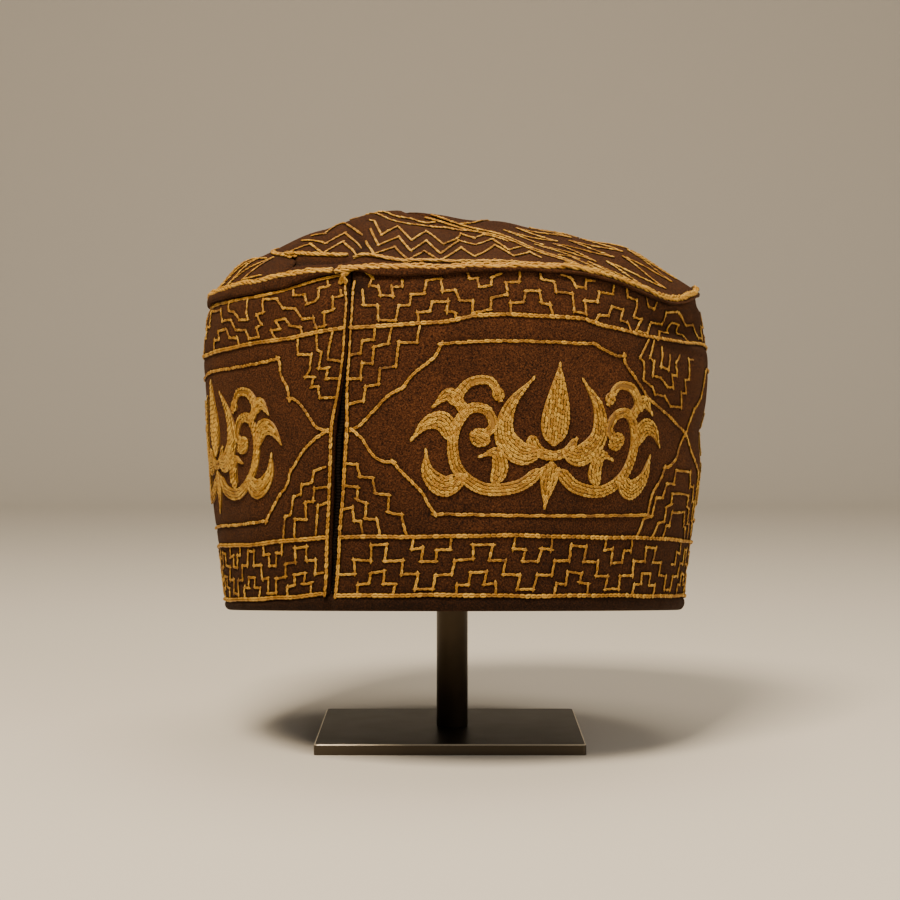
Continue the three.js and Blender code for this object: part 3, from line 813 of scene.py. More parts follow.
def draw_arc(paths, arc, as_turn, random):
    """One smooth arc of an outline, stitched as one run."""
    points = np.array(arc) * (DEGREE_LENGTH, 1.0)
    rough = smooth_curve(points, 60)
    length = np.sum(np.linalg.norm(np.diff(rough, axis=0), axis=1))
    spots = smooth_curve(points, max(4, int(length / 1.2)))
    shake = 0.1 * np.sin(np.arange(len(spots)) * 0.9 + random.uniform(0, 6))
    turn, height = as_turn(spots[:, 0] / DEGREE_LENGTH), spots[:, 1] + shake
    paths.run(wall_angle(turn, height), height, 0.15, CARTOUCHE_WIDTH, random.uniform(0.35, 0.65))


def draw_cartouches(paths, random):
    """The cartouche outlines, one in each panel."""
    for start, end, _ in PANELS:
        if start == 0:
            for arc in FRONT_CARTOUCHE:
                draw_arc(paths, arc, lambda turn: turn, random)
            continue
        half = LEFT_HALF if end == 360 else SIDE_HALF
        for arc in PULLED_HALF if start == PULLED_EDGE else half:
            draw_arc(paths, arc, lambda turn, start=start: start + turn, random)
        for arc in half:
            draw_arc(paths, arc, lambda turn, end=end: end - turn, random)


def vine_width(share, full):
    """A scroll's width along it: even, thinning, with round ends."""
    ends = np.clip(np.minimum(share, 1 - share) / 0.04, 0, 1) ** 0.5
    return full * (1 - 0.35 * share) * ends


def drop_width(share, full):
    """A leaf's width along it: widest in its first half."""
    return full * np.sin(np.pi * share**0.6) ** 0.9


def bud_width(share, full):
    """A bud's width along it: an ellipse's."""
    return full * np.sqrt(np.clip(1 - (2 * share - 1) ** 2, 0, 1))


# Half of the filled arabesque, from the cartouche's middle, in millimetres: kind, full width, path
ARABESQUE = (
    ("drop", 8.4, ((4.6, -8.4), (12.6, -9.2), (19.4, -2.4), (18.0, 8.6), (10.2, 18.6))),
    ("vine", 4.8, ((3.6, -15.0), (12.0, -21.2), (25.0, -22.2), (35.5, -15.2), (38.4, -3.0),
                   (34.0, 6.4), (27.2, 6.6), (24.0, 1.0), (27.0, -2.6))),
    ("bud", 6.8, ((25.4, -5.2), (28.4, -3.6), (31.8, -2.2))),
    ("drop", 7.6, ((32.4, -17.4), (39.6, -21.4), (46.4, -16.5), (48.0, -8.5))),
    ("drop", 6.0, ((21.5, -20.5), (19.6, -15.0), (22.0, -9.0), (27.5, -10.4))),
    ("drop", 7.0, ((37.8, -5.0), (42.6, 2.2), (48.6, 1.6), (53.6, -4.0))),
    ("vine", 4.2, ((34.6, 5.6), (37.8, 11.0), (33.8, 16.6), (26.8, 17.4), (23.2, 13.2))),
    ("bud", 4.4, ((22.2, 10.4), (23.0, 12.4), (24.0, 14.4))),
    ("drop", 5.4, ((36.6, 8.6), (41.4, 12.2), (46.4, 8.0))),
)
ARABESQUE_MIDDLE = (
    ("drop", 11.4, ((0.0, -5.6), (0.0, 8.0), (0.0, 24.0))),
    ("vine", 4.4, ((-9.5, -3.4), (-5.6, -8.2), (0.0, -9.8), (5.6, -8.2), (9.5, -3.4))),
    ("drop", 7.6, ((0.0, -12.6), (0.0, -19.0), (0.0, -28.6))),
)
WIDTHS = {"vine": vine_width, "drop": drop_width, "bud": bud_width}
# The filling's rows: their spacing and width, and the lift of those round the rim and inside it
ROW_SPACING, ROW_WIDTH = 1.12, 0.95
RIM_LIFT, ROW_LIFT = 0.55, 0.66
# The height of the cartouches' middle, and the wall's radius there
FILL_HEIGHT, FILL_RADIUS = 66.0, 101.0


def draw_filled_stroke(paths, beds, kind, full, points, place, random):
    """Rows of chain stitch along and inside one stroke's outline, and the raised bed under them."""
    rough = smooth_curve(points, 40)
    length = np.sum(np.linalg.norm(np.diff(rough, axis=0), axis=1))
    line = smooth_curve(points, max(12, int(length / 0.8)))
    share = np.linspace(0, 1, len(line))
    width = WIDTHS[kind](share, full)
    way = np.gradient(line, axis=0)
    way = way / np.linalg.norm(way, axis=1, keepdims=True)
    side = np.stack([-way[:, 1], way[:, 0]], -1)
    tone = random.uniform(0.45, 0.7)
    rim = np.maximum(width / 2 - 0.45, 0.05)
    for edge in (1, -1):
        row = line + side * (edge * rim)[:, None]
        paths.run(*place(row), RIM_LIFT, ROW_WIDTH, tone + random.uniform(-0.15, 0.15))
    rows = int(round((full - 1.0) / ROW_SPACING)) - 1
    for number in range(rows):
        offset = (number - (rows - 1) / 2) * ROW_SPACING
        kept = np.abs(offset) <= rim - 0.75
        pieces = np.split(np.arange(len(line)), np.where(np.diff(kept.astype(int)) != 0)[0] + 1)
        for piece in pieces:
            if not kept[piece[0]] or len(piece) < 3:
                continue
            wander = 0.12 * np.sin(piece * 0.55 + random.uniform(0, 6))
            row = line[piece] + side[piece] * (offset + wander)[:, None]
            paths.run(*place(row), ROW_LIFT, ROW_WIDTH, tone + random.uniform(-0.2, 0.2))
    bed_rows = np.linspace(-1, 1, 5)
    # Every second point is enough for the bed
    kept = np.unique(np.append(np.arange(0, len(line), 2), len(line) - 1))
    line, side, width = line[kept], side[kept], width[kept]
    spots = line[:, None, :] + side[:, None, :] * (bed_rows[None, :, None] * width[:, None, None] / 2)
    swell = 0.08 + 0.34 * (1 - bed_rows**2)[None, :] * np.clip(width / 3, 0.2, 1)[:, None]
    beds.append((spots, swell, place))


def draw_fills(paths, beds, random):
    """The filled arabesque inside each cartouche."""
    for start, end, _ in PANELS:
        middle_turn = start + (end - start) / 2 + (1.2 if start == 0 else 0)
        size = 1.0 if start == 0 else 0.97

        def place(points, middle_turn=middle_turn, size=size):
            height = FILL_HEIGHT + points[..., 1] * size
            turn = middle_turn + np.degrees(points[..., 0] * size / FILL_RADIUS)
            return wall_angle(turn, height), height

        for kind, full, points in ARABESQUE_MIDDLE:
            draw_filled_stroke(paths, beds, kind, full, points, place, random)
        for kind, full, points in ARABESQUE:
            for mirror in (1, -1):
                mirrored = [(mirror * x, y) for x, y in points]
                draw_filled_stroke(paths, beds, kind, full, mirrored, place, random)


# Length of a line straight up the crown, from the ridge to its top
CROWN_REACH = 96.0
# Millimetres up the crown where the gores' border lines end, start, and start in the crease
BORDER_TOP, BORDER_FOOT, CREASED_FOOT = 82.0, 2.0, 13.0
# The rise of the line across each gore's top, and how far up its zigzags reach
TOP_LINE_RISE, ZIGZAG_TOP = 0.71, 0.69
# Millimetres up the crown from row to row of the zigzags, and a tooth's height and width
ZIGZAG_SPACING, TOOTH_HEIGHT, TOOTH_WIDTH = 15.8, 14.5, 12.4
# A longer step between two corners is a gap in the stitching
LONGEST_TOOTH = 32.0
# The front gore's zigzags, broken by the crease over the seam: angle and rise of each corner
FRONT_ZIGZAGS = (
    ((-50.5, 0.185), (-43.0, 0.25), (-34.6, 0.162), (-32.0, 0.292), (-23.8, 0.156)),
    ((-51.0, 0.31), (-37.4, 0.264), (-34.8, 0.384), (-24.8, 0.264)),
    ((-49.5, 0.36), (-43.6, 0.368), (-50.0, 0.56), (-27.4, 0.384)),
    ((-24.0, 0.315), (-19.0, 0.14), (-14.0, 0.29), (-10.0, 0.09), (-5.0, 0.246), (-2.6, 0.07),
     (9.4, 0.368), (8.6, 0.204), (22.0, 0.368), (19.6, 0.196), (28.4, 0.262), (27.6, 0.19)),
    ((-26.2, 0.47), (-19.2, 0.278), (-13.2, 0.452), (-9.0, 0.248), (-2.2, 0.424), (-0.8, 0.21),
     (15.0, 0.512), (17.4, 0.424), (26.6, 0.45), (22.2, 0.282), (29.0, 0.325)),
    ((-31.0, 0.585), (-29.0, 0.596), (-20.2, 0.426), (-15.0, 0.64), (-8.0, 0.42), (3.0, 0.628),
     (3.4, 0.384), (23.6, 0.61), (23.4, 0.52), (29.6, 0.53), (29.4, 0.40)),
)
# The two border lines above them, likewise
FRONT_TOP_LINE = ((-47.0, 0.606), (-50.0, 0.72), (-25.0, 0.735), (9.0, 0.775), (22.0, 0.73),
                  (27.0, 0.662), (30.4, 0.616))
FRONT_SECOND_LINE = ((-62.0, 0.79), (-42.0, 0.8), (-20.0, 0.84), (5.0, 0.86), (24.0, 0.8))


def draw_crown_line(paths, random, place, corners):
    """Straight runs between corners on the crown, which are given in millimetres."""
    for spot, following in zip(corners[:-1], corners[1:]):
        spot, following = np.array(spot), np.array(following)
        length = np.linalg.norm(following - spot)
        if length > LONGEST_TOOTH:
            continue
        share = np.linspace(0.3 / length, 1 - 0.3 / length, max(3, int(length / 1.3)))
        line = spot + share[:, None] * (following - spot)
        first, second = place(line[:, 0], line[:, 1])
        paths.run(first, second, LINE_LIFT, ZIGZAG_WIDTH, random.uniform(0.3, 0.7))


def draw_crown(paths, random):
    """Rows of nested zigzags on each gore, between border lines along its edges and across its top."""
    for start, end in GORES:
        front = start == HIPS[0]
        middle = (start + end) / 2

        def place(along, up):
            rise = np.asarray(up, float) / CROWN_REACH
            turn = np.degrees(np.asarray(along, float) / (CROWN_RADIUS * np.maximum(1 - rise, 0.04)))
            return middle + turn, rise

        def laid_flat(angle, rise):
            return np.radians(angle - middle) * CROWN_RADIUS * (1 - rise), rise * CROWN_REACH

        def edge(side, up):
            rise = np.asarray(up, float) / CROWN_REACH
            return laid_flat(hip_angle(start if side < 0 else end, rise), rise)[0]

        for side in (-1, 1):
            # Beside the seam the two hips' feet lie in the crease, so nothing is sewn there
            creased = side < 0 if front else side > 0 and end > HIPS[3] + 1
            up = np.linspace(CREASED_FOOT if creased else BORDER_FOOT, BORDER_TOP, 80)
            paths.run(*place(edge(side, up) - side * 1.35, up), LINE_LIFT, 0.85, 0.5)
        if front:
            for corners in (FRONT_TOP_LINE, FRONT_SECOND_LINE):
                line = smooth_curve(corners, 70)
                paths.run(line[:, 0], line[:, 1], LINE_LIFT, 0.8, 0.5)
            for corners in FRONT_ZIGZAGS:
                flat = [laid_flat(angle, rise) for angle, rise in corners]
                draw_crown_line(paths, random, place, flat)
            continue
        low_side, high_side = (hip_angle(hip, TOP_LINE_RISE) for hip in (start, end))
        angles = np.linspace(low_side + 5.0, high_side - 5.0, 60)
        wave = 0.003 * np.sin(angles / 9.0 + random.uniform(0, 6))
        paths.run(angles, TOP_LINE_RISE + wave, LINE_LIFT, 0.8, 0.5)
        foot = 2.6 if end > HIPS[3] + 1 else 7.0
        for row in range(4 if end > HIPS[3] + 1 else 3):
            level = foot + ZIGZAG_SPACING * row
            spots = []
            for step in range(-17, 15):
                up = level + (TOOTH_HEIGHT if step % 2 else 0.0)
                along = step * TOOTH_WIDTH / 2 + 1.5
                inside = edge(-1, up) + 3.2 < along < edge(1, up) - 3.2
                if inside and up < ZIGZAG_TOP * CROWN_REACH:
                    spots.append((along + random.normal(0, 0.4), up + random.normal(0, 0.5)))
            draw_crown_line(paths, random, place, spots)


def stitch_plan():
    """Every stitched path on the cap, drawn once and shared by the felt and the thread."""
    if "plan" not in _kept:
        random = np.random.default_rng(7)
        plan = {name: StitchPaths(wall_point) for name in ("borders", "frets", "wedges", "fills")}
        plan["crown"] = StitchPaths(crown_point)
        plan["beds"] = []
        draw_borders(plan["borders"], random)
        draw_cartouches(plan["borders"], random)
        draw_frets(plan["frets"], random)
        draw_wedges(plan["wedges"], random)
        draw_fills(plan["fills"], plan["beds"], random)
        draw_crown(plan["crown"], random)
        _kept["plan"] = plan
    return _kept["plan"]


def search_tree(spots):
    """A search tree that finds the nearest of some points."""
    tree = kdtree.KDTree(len(spots))
    for index, spot in enumerate(spots):
        tree.insert(spot, index)
    tree.balance()
    return tree


def stitch_closeness(points, names, reach):
    """How close each point is to stitches: 1 under them, falling to 0 beyond the reach."""
    plan = stitch_plan()
    tree = search_tree(np.concatenate([plan[name].points()[0] for name in names]))
    distance = np.array([tree.find(point)[2] for point in points.reshape(-1, 3)])
    return np.exp(-((distance / reach) ** 2)).reshape(points.shape[:-1])


def nearest_values(points, values, thing):
    """Values given for points, for the vertices that are left of them once doubles are merged."""
    tree = search_tree(to_frame(points))
    return [values[tree.find(vertex.co)[1]] for vertex in thing.data.vertices]


def paint_ramp(ramp, settings, dark_at, light_at):
    """Sets a colour ramp to a finish's dark, main and light colours."""
    ramp.elements[0].position, ramp.elements[1].position = dark_at, light_at
    ramp.elements[0].color = linear(settings.dark_colour_hex)
    ramp.elements[1].color = linear(settings.light_colour_hex)
    ramp.elements.new(0.5).color = linear(settings.colour_hex)


# Wool broadcloth, fulled and napped: a matte brown with dark pits between the nubs of the nap, a
# slow mottle where the dye took unevenly, a soft sheen of stray fibres at grazing angles, and painted
# shade that each piece gives its points
def felt_material(settings):
    material = new_material("fulled_wool_felt")
    tree = material.node_tree
    place = add_node(tree, "ShaderNodeTexCoord").outputs["Object"]
    # Mottle about 30 mm across, clouds about 6 mm, nubs about 0.6 mm, nap about 0.2 mm
    mottle = add_node(tree, "ShaderNodeTexNoise", {"Vector": place, "Scale": 34.0, "Detail": 3.0})
    cloud = add_node(tree, "ShaderNodeTexNoise", {"Vector": place, "Scale": 160.0, "Detail": 3.0})
    nub_scale = 1.0 / settings.nub_size
    nubs = add_node(tree, "ShaderNodeTexNoise",
                    {"Vector": place, "Scale": nub_scale, "Detail": 2.0, "Roughness": 0.6})
    nap = add_node(tree, "ShaderNodeTexNoise",
                   {"Vector": place, "Scale": nub_scale * 3.1, "Detail": 2.0, "Roughness": 0.7})
    # Dark specks about 0.6 mm across and 1.6 mm apart, where the nap has rubbed through
    pits = add_node(tree, "ShaderNodeTexVoronoi", {"Vector": place, "Scale": 640.0})
    base = add_node(tree, "ShaderNodeValToRGB", {"Fac": nubs.outputs["Fac"]})
    paint_ramp(base.color_ramp, settings, 0.3, 0.72)
    pit = add_node(tree, "ShaderNodeMapRange",
                   {"Value": pits.outputs["Distance"], "From Min": 0.14, "From Max": 0.26,
                    "To Min": 0.3, "To Max": 1.0})
    # Painted shade, given by each piece to its points under the name shade
    painted_shade = add_node(tree, "ShaderNodeAttribute", attribute_name="shade")
    product = add_node(tree, "ShaderNodeMath", {0: painted_shade.outputs["Fac"], 1: pit.outputs[0]},
                       operation="MULTIPLY")
    for noise, low, high, dark, light in ((mottle, 0.3, 0.7, 0.8, 1.18), (cloud, 0.3, 0.7, 0.86, 1.14),
                                          (nap, 0.35, 0.7, 0.62, 1.38)):
        part = add_node(tree, "ShaderNodeMapRange",
                        {"Value": noise.outputs["Fac"], "From Min": low, "From Max": high,
                         "To Min": dark, "To Max": light})
        product = add_node(tree, "ShaderNodeMath", {0: product.outputs[0], 1: part.outputs[0]},
                           operation="MULTIPLY")
    tint = add_node(tree, "ShaderNodeVectorMath",
                    {0: base.outputs["Color"], "Scale": product.outputs[0]}, operation="SCALE")
    height = add_node(tree, "ShaderNodeMath", {0: nap.outputs["Fac"], 1: 0.45, 2: nubs.outputs["Fac"]},
                      operation="MULTIPLY_ADD")
    deep = add_node(tree, "ShaderNodeMath", {0: pit.outputs[0], 1: 0.5, 2: height.outputs[0]},
                    operation="MULTIPLY_ADD")
    relief = add_node(tree, "ShaderNodeBump", {"Height": deep.outputs[0], "Distance": 0.0006,
                                               "Strength": 0.9})
    shader = add_node(tree, "ShaderNodeBsdfPrincipled",
                      {"Base Color": tint.outputs[0], "Normal": relief.outputs[0], "Roughness": 0.94,
                       "Specular IOR Level": 0.15, "Sheen Weight": 0.1, "Sheen Roughness": 0.5,
                       "Sheen Tint": linear("#9a6a3c")})
    add_node(tree, "ShaderNodeOutputMaterial", {"Surface": shader.outputs[0]})
    return material


# Silk thread, loosely twisted and worked in chain stitch: old gold that goes from amber to straw
# between links, with a soft gleam along the ply, and painted shade on each strand's underside and
# sides that draws fine dark lines between its strands
def thread_material(name, settings, brighter):
    material = new_material(name)
    tree = material.node_tree
    place = add_node(tree, "ShaderNodeTexCoord").outputs["Object"]
    tone = add_node(tree, "ShaderNodeAttribute", attribute_name="tone")
    # Dye changes over about 20 mm of work, fibres about 0.3 mm
    dye = add_node(tree, "ShaderNodeTexNoise", {"Vector": place, "Scale": 55.0, "Detail": 2.0})
    fibre = add_node(tree, "ShaderNodeTexNoise", {"Vector": place, "Scale": 3200.0, "Detail": 1.0})
    mixed = add_node(tree, "ShaderNodeMath", {0: tone.outputs["Fac"], 1: 0.55, 2: 0.05 + brighter},
                     operation="MULTIPLY_ADD")
    mixed = add_node(tree, "ShaderNodeMath", {0: dye.outputs["Fac"], 1: 0.35, 2: mixed.outputs[0]},
                     operation="MULTIPLY_ADD")
    ramp = add_node(tree, "ShaderNodeValToRGB", {"Fac": mixed.outputs[0]})
    paint_ramp(ramp.color_ramp, settings, 0.12, 0.92)
    strands = add_node(tree, "ShaderNodeMapRange",
                       {"Value": fibre.outputs["Fac"], "From Min": 0.35, "From Max": 0.65,
                        "To Min": 0.78, "To Max": 1.12})
    tint = add_node(tree, "ShaderNodeVectorMath",
                    {0: ramp.outputs["Color"], "Scale": strands.outputs[0]}, operation="SCALE")
    # Painted shade where a strand's face turns down or aside, from the ridge value of its link or cord
    ridge = add_node(tree, "ShaderNodeAttribute", attribute_name="ridge")
    crevice_shade = add_node(tree, "ShaderNodeMapRange",
                       {"Value": ridge.outputs["Fac"], "From Min": 0.35, "From Max": 0.85,
                        "To Min": 0.3, "To Max": 1.05})
    tint = add_node(tree, "ShaderNodeVectorMath",
                    {0: tint.outputs[0], "Scale": crevice_shade.outputs[0]}, operation="SCALE")
    relief = add_node(tree, "ShaderNodeBump", {"Height": fibre.outputs["Fac"], "Distance": 0.00012,
                                               "Strength": 0.6})
    shader = add_node(tree, "ShaderNodeBsdfPrincipled",
                      {"Base Color": tint.outputs[0], "Normal": relief.outputs[0], "Roughness": 0.55,
                       "Specular IOR Level": 0.4, "Sheen Weight": 0.08, "Sheen Roughness": 0.4,
                       "Sheen Tint": linear("#ffd070")})
    add_node(tree, "ShaderNodeOutputMaterial", {"Surface": shader.outputs[0]})
    return material


# Waxed linen thread and dark twill tape behind the seam: dull, with fine ribs, a dark brown made nearly
# black with painted shade of the seam's gap
def dark_tape_material():
    material = new_material("dark_linen_tape")
    tree = material.node_tree
    place = add_node(tree, "ShaderNodeTexCoord").outputs["Object"]
    # Ribs 1.2 mm apart, fuzz about 0.5 mm
    ribs = add_node(tree, "ShaderNodeTexWave", {"Vector": place, "Scale": 265.0, "Distortion": 2.0},
                    bands_direction="Z")
    fuzz = add_node(tree, "ShaderNodeTexNoise", {"Vector": place, "Scale": 2000.0, "Detail": 2.0})
    mixed = add_node(tree, "ShaderNodeMix", {"Factor": fuzz.outputs["Fac"], "A": linear("#060403"),
                                             "B": linear("#150e08")}, data_type="RGBA")
    relief = add_node(tree, "ShaderNodeBump", {"Height": ribs.outputs["Fac"], "Distance": 0.0003})
    shader = add_node(tree, "ShaderNodeBsdfPrincipled",
                      {"Base Color": mixed.outputs["Result"], "Normal": relief.outputs[0],
                       "Roughness": 0.95, "Specular IOR Level": 0.1})
    add_node(tree, "ShaderNodeOutputMaterial", {"Surface": shader.outputs[0]})
    return material


# Mild steel, ground, blackened and waxed: dark brown grey with a satin gleam, faint grinding lines,
# cloudy patches of the blackening and a painted highlight, a pale line along the plate's top chamfer
def steel_material(settings, upright):
    material = new_material("blackened_steel_upright" if upright else "blackened_steel_flat")
    tree = material.node_tree
    place = add_node(tree, "ShaderNodeTexCoord").outputs["Object"]
    stretch = (1.0, 1.0, 0.03) if upright else (0.03, 1.0, 1.0)
    mapped = add_node(tree, "ShaderNodeMapping", {"Vector": place, "Scale": stretch})
    # Grinding lines about 0.4 mm apart, blackening clouds about 12 mm
    grind = add_node(tree, "ShaderNodeTexNoise",
                     {"Vector": mapped.outputs[0], "Scale": 2400.0, "Detail": 2.0})
    cloud = add_node(tree, "ShaderNodeTexNoise", {"Vector": place, "Scale": 80.0, "Detail": 4.0})
    mixed = add_node(tree, "ShaderNodeMix",
                     {"Factor": cloud.outputs["Fac"], "A": linear(settings.dark_colour_hex),
                      "B": linear(settings.colour_hex)}, data_type="RGBA")
    # The post gets a lighter colour than the plate, because less of the studio's light reaches it
    mixed = add_node(tree, "ShaderNodeHueSaturation",
                     {"Color": mixed.outputs["Result"], "Value": 2.4 if upright else 0.7})
    rough = add_node(tree, "ShaderNodeMapRange",
                     {"Value": cloud.outputs["Fac"], "From Min": 0.3, "From Max": 0.7,
                      "To Min": 0.41, "To Max": 0.45})
    relief = add_node(tree, "ShaderNodeBump", {"Height": grind.outputs["Fac"], "Distance": 0.00005,
                                               "Strength": 0.5})
    # Under the plate's flat face the chamfer gets a painted highlight, a pale line, and under that the
    # sides are browner
    level = add_node(tree, "ShaderNodeSeparateXYZ", {0: place})
    painted = mixed.outputs[0]
    for depth, colour in ((0.02, "#f4e6cc"), (PLATE_CHAMFER, "#4a4134")):
        under = add_node(tree, "ShaderNodeMath",
                         {0: level.outputs[2], 1: (PLATE_THICKNESS - depth) * MM},
                         operation="LESS_THAN")
        layer = add_node(tree, "ShaderNodeMix",
                         {"Factor": under.outputs[0], "A": painted, "B": linear(colour)},
                         data_type="RGBA")
        painted = layer.outputs["Result"]
    shader = add_node(tree, "ShaderNodeBsdfPrincipled",
                      {"Base Color": painted, "Normal": relief.outputs[0],
                       "Roughness": rough.outputs[0], "Metallic": 0.8})
    add_node(tree, "ShaderNodeOutputMaterial", {"Surface": shader.outputs[0]})
    return material


# Painted studio paper: an even warm white without gloss
def paper_material(settings):
    material = new_material("matte_studio_paper")
    tree = material.node_tree
    shader = add_node(tree, "ShaderNodeBsdfPrincipled",
                      {"Base Color": linear(settings.floor_hex), "Roughness": 0.95,
                       "Specular IOR Level": 0.1})
    add_node(tree, "ShaderNodeOutputMaterial", {"Surface": shader.outputs[0]})
    return material


def made_once(key, build, *arguments):
    """The material or tree of that name, made on first use."""
    if key not in _kept:
        _kept[key] = build(*arguments)
    return _kept[key]


def new_tree(name, sizes):
    """A tree of Geometry Nodes that takes a mesh of edges, sizes or counts, and a material."""
    tree = bpy.data.node_groups.new(name, "GeometryNodeTree")
    tree.interface.new_socket("Geometry", in_out="INPUT", socket_type="NodeSocketGeometry")
    for label, default in sizes:
        kind = "NodeSocketInt" if isinstance(default, int) else "NodeSocketFloat"
        tree.interface.new_socket(label, in_out="INPUT", socket_type=kind).default_value = default
    tree.interface.new_socket("Material", in_out="INPUT", socket_type="NodeSocketMaterial")
    tree.interface.new_socket("Geometry", in_out="OUTPUT", socket_type="NodeSocketGeometry")
    return tree, add_node(tree, "NodeGroupInput").outputs


def chain_tree():
    """Chain stitches along every run: looped links laid end to end, flat on the felt."""
    tree, given = new_tree("chain_stitches", (
        ("Link Length", 0.0024), ("Link Width", 0.0016), ("Strand Thickness", 0.0007),
        ("Loop Sides", 8), ("Strand Sides", 4), ("Seed", 3)))
    length, width = given["Link Length"], given["Link Width"]
    curve = add_node(tree, "GeometryNodeMeshToCurve", {"Mesh": given["Geometry"]})
    measured = add_node(tree, "GeometryNodeSplineLength")
    # The number of links, rounded and at least one, and one more for the points at their ends
    number = measured.outputs["Length"]
    for operation, value in (("DIVIDE", length), ("ROUND", 0.0), ("MAXIMUM", 1.0), ("ADD", 1.0)):
        number = add_node(tree, "ShaderNodeMath", {0: number, 1: value},
                          operation=operation).outputs[0]
    spaced = add_node(tree, "GeometryNodeResampleCurve",
                      {"Curve": curve.outputs[0], "Count": number}, mode="COUNT")
    between = add_node(tree, "ShaderNodeMath", {0: measured.outputs["Point Count"], 1: 1.0},
                       operation="SUBTRACT")
    spacing = add_node(tree, "ShaderNodeMath",
                       {0: measured.outputs["Length"], 1: between.outputs[0]}, operation="DIVIDE")
    stretch = add_node(tree, "ShaderNodeMath", {0: spacing.outputs[0], 1: length},
                       operation="DIVIDE")
    ring = add_node(tree, "GeometryNodeCurvePrimitiveCircle",
                    {"Resolution": given["Loop Sides"], "Radius": 1.0})
    spot = add_node(tree, "GeometryNodeInputPosition")
    parts = add_node(tree, "ShaderNodeSeparateXYZ", {0: spot.outputs[0]})
    half_length = add_node(tree, "ShaderNodeMath", {0: length, 1: 0.56}, operation="MULTIPLY")
    along = add_node(tree, "ShaderNodeMath", {0: parts.outputs[0], 1: half_length.outputs[0]},
                     operation="MULTIPLY")
    taper = add_node(tree, "ShaderNodeMath", {0: parts.outputs[0], 1: -0.13, 2: 0.46},
                     operation="MULTIPLY_ADD")
    slim = add_node(tree, "ShaderNodeMath", {0: width, 1: given["Strand Thickness"]},
                    operation="SUBTRACT")
    half_width = add_node(tree, "ShaderNodeMath", {0: slim.outputs[0], 1: taper.outputs[0]},
                          operation="MULTIPLY")
    across = add_node(tree, "ShaderNodeMath", {0: parts.outputs[1], 1: half_width.outputs[0]},
                      operation="MULTIPLY")
    slope = add_node(tree, "ShaderNodeMath", {0: along.outputs[0], 1: -0.14}, operation="MULTIPLY")
    moved = add_node(tree, "ShaderNodeCombineXYZ",
                     {0: along.outputs[0], 1: across.outputs[0], 2: slope.outputs[0]})
    loop = add_node(tree, "GeometryNodeSetPosition",
                    {"Geometry": ring.outputs[0], "Position": moved.outputs[0]})
    half_strand = add_node(tree, "ShaderNodeMath", {0: given["Strand Thickness"], 1: 0.5},
                           operation="MULTIPLY")
    strand = add_node(tree, "GeometryNodeCurvePrimitiveCircle",
                      {"Resolution": given["Strand Sides"], "Radius": half_strand.outputs[0]})
    link = add_node(tree, "GeometryNodeCurveToMesh",
                    {"Curve": loop.outputs[0], "Profile Curve": strand.outputs[0]})
    link = add_node(tree, "GeometryNodeSetShadeSmooth", {"Geometry": link.outputs[0]})
    # Painted shade for the thread's material: 1 on top of a strand, falling to 0 underneath
    face = add_node(tree, "GeometryNodeInputNormal")
    slant = add_node(tree, "ShaderNodeSeparateXYZ", {0: face.outputs[0]})
    ridge = add_node(tree, "ShaderNodeMath", {0: slant.outputs[2], 1: 0.5, 2: 0.5},
                     operation="MULTIPLY_ADD")
    link = add_node(tree, "GeometryNodeStoreNamedAttribute",
                    {"Geometry": link.outputs[0], "Name": "ridge", "Value": ridge.outputs[0]},
                    data_type="FLOAT", domain="POINT")
    tangent = add_node(tree, "GeometryNodeInputTangent")
    normal = add_node(tree, "GeometryNodeInputNamedAttribute", {"Name": "felt_normal"},
                      data_type="FLOAT_VECTOR")
    facing = add_node(tree, "FunctionNodeAxesToRotation",
                      {0: tangent.outputs[0], 1: normal.outputs["Attribute"]},
                      primary_axis="X", secondary_axis="Z")
    shake = add_node(tree, "FunctionNodeRandomValue",
                     {"Min": (-0.2, -0.1, -0.17), "Max": (0.2, 0.1, 0.17), "Seed": given["Seed"]},
                     data_type="FLOAT_VECTOR")
    tilt = add_node(tree, "FunctionNodeEulerToRotation", {0: shake.outputs[0]})
    turned = add_node(tree, "FunctionNodeRotateRotation",
                      {"Rotation": facing.outputs[0], "Rotate By": tilt.outputs[0]},
                      rotation_space="LOCAL")
    thick = add_node(tree, "GeometryNodeInputNamedAttribute", {"Name": "thread_width"},
                     data_type="FLOAT")
    uneven = add_node(tree, "FunctionNodeRandomValue", {2: 0.9, 3: 1.12, "Seed": given["Seed"]},
                      data_type="FLOAT")
    breadth = add_node(tree, "ShaderNodeMath", {0: thick.outputs["Attribute"], 1: uneven.outputs[1]},
                       operation="MULTIPLY")
    size = add_node(tree, "ShaderNodeCombineXYZ",
                    {0: stretch.outputs[0], 1: breadth.outputs[0], 2: breadth.outputs[0]})
    links = add_node(tree, "GeometryNodeInstanceOnPoints",
                     {"Points": spaced.outputs[0], "Instance": link.outputs[0],
                      "Rotation": turned.outputs[0], "Scale": size.outputs[0]})
    run_shade = add_node(tree, "GeometryNodeInputNamedAttribute", {"Name": "run_shade"},
                         data_type="FLOAT")
    chance = add_node(tree, "FunctionNodeRandomValue", {2: -0.42, 3: 0.42, "Seed": given["Seed"]},
                      data_type="FLOAT")
    tone = add_node(tree, "ShaderNodeMath", {0: run_shade.outputs["Attribute"], 1: chance.outputs[1]},
                    operation="ADD")
    marked = add_node(tree, "GeometryNodeStoreNamedAttribute",
                      {"Geometry": links.outputs[0], "Name": "tone", "Value": tone.outputs[0]},
                      data_type="FLOAT", domain="INSTANCE")
    real = add_node(tree, "GeometryNodeRealizeInstances", {"Geometry": marked.outputs[0]})
    painted = add_node(tree, "GeometryNodeSetMaterial",
                       {"Geometry": real.outputs[0], "Material": given["Material"]})
    add_node(tree, "NodeGroupOutput", {"Geometry": painted.outputs[0]})
    return tree


PLAIT_CORDS = 5


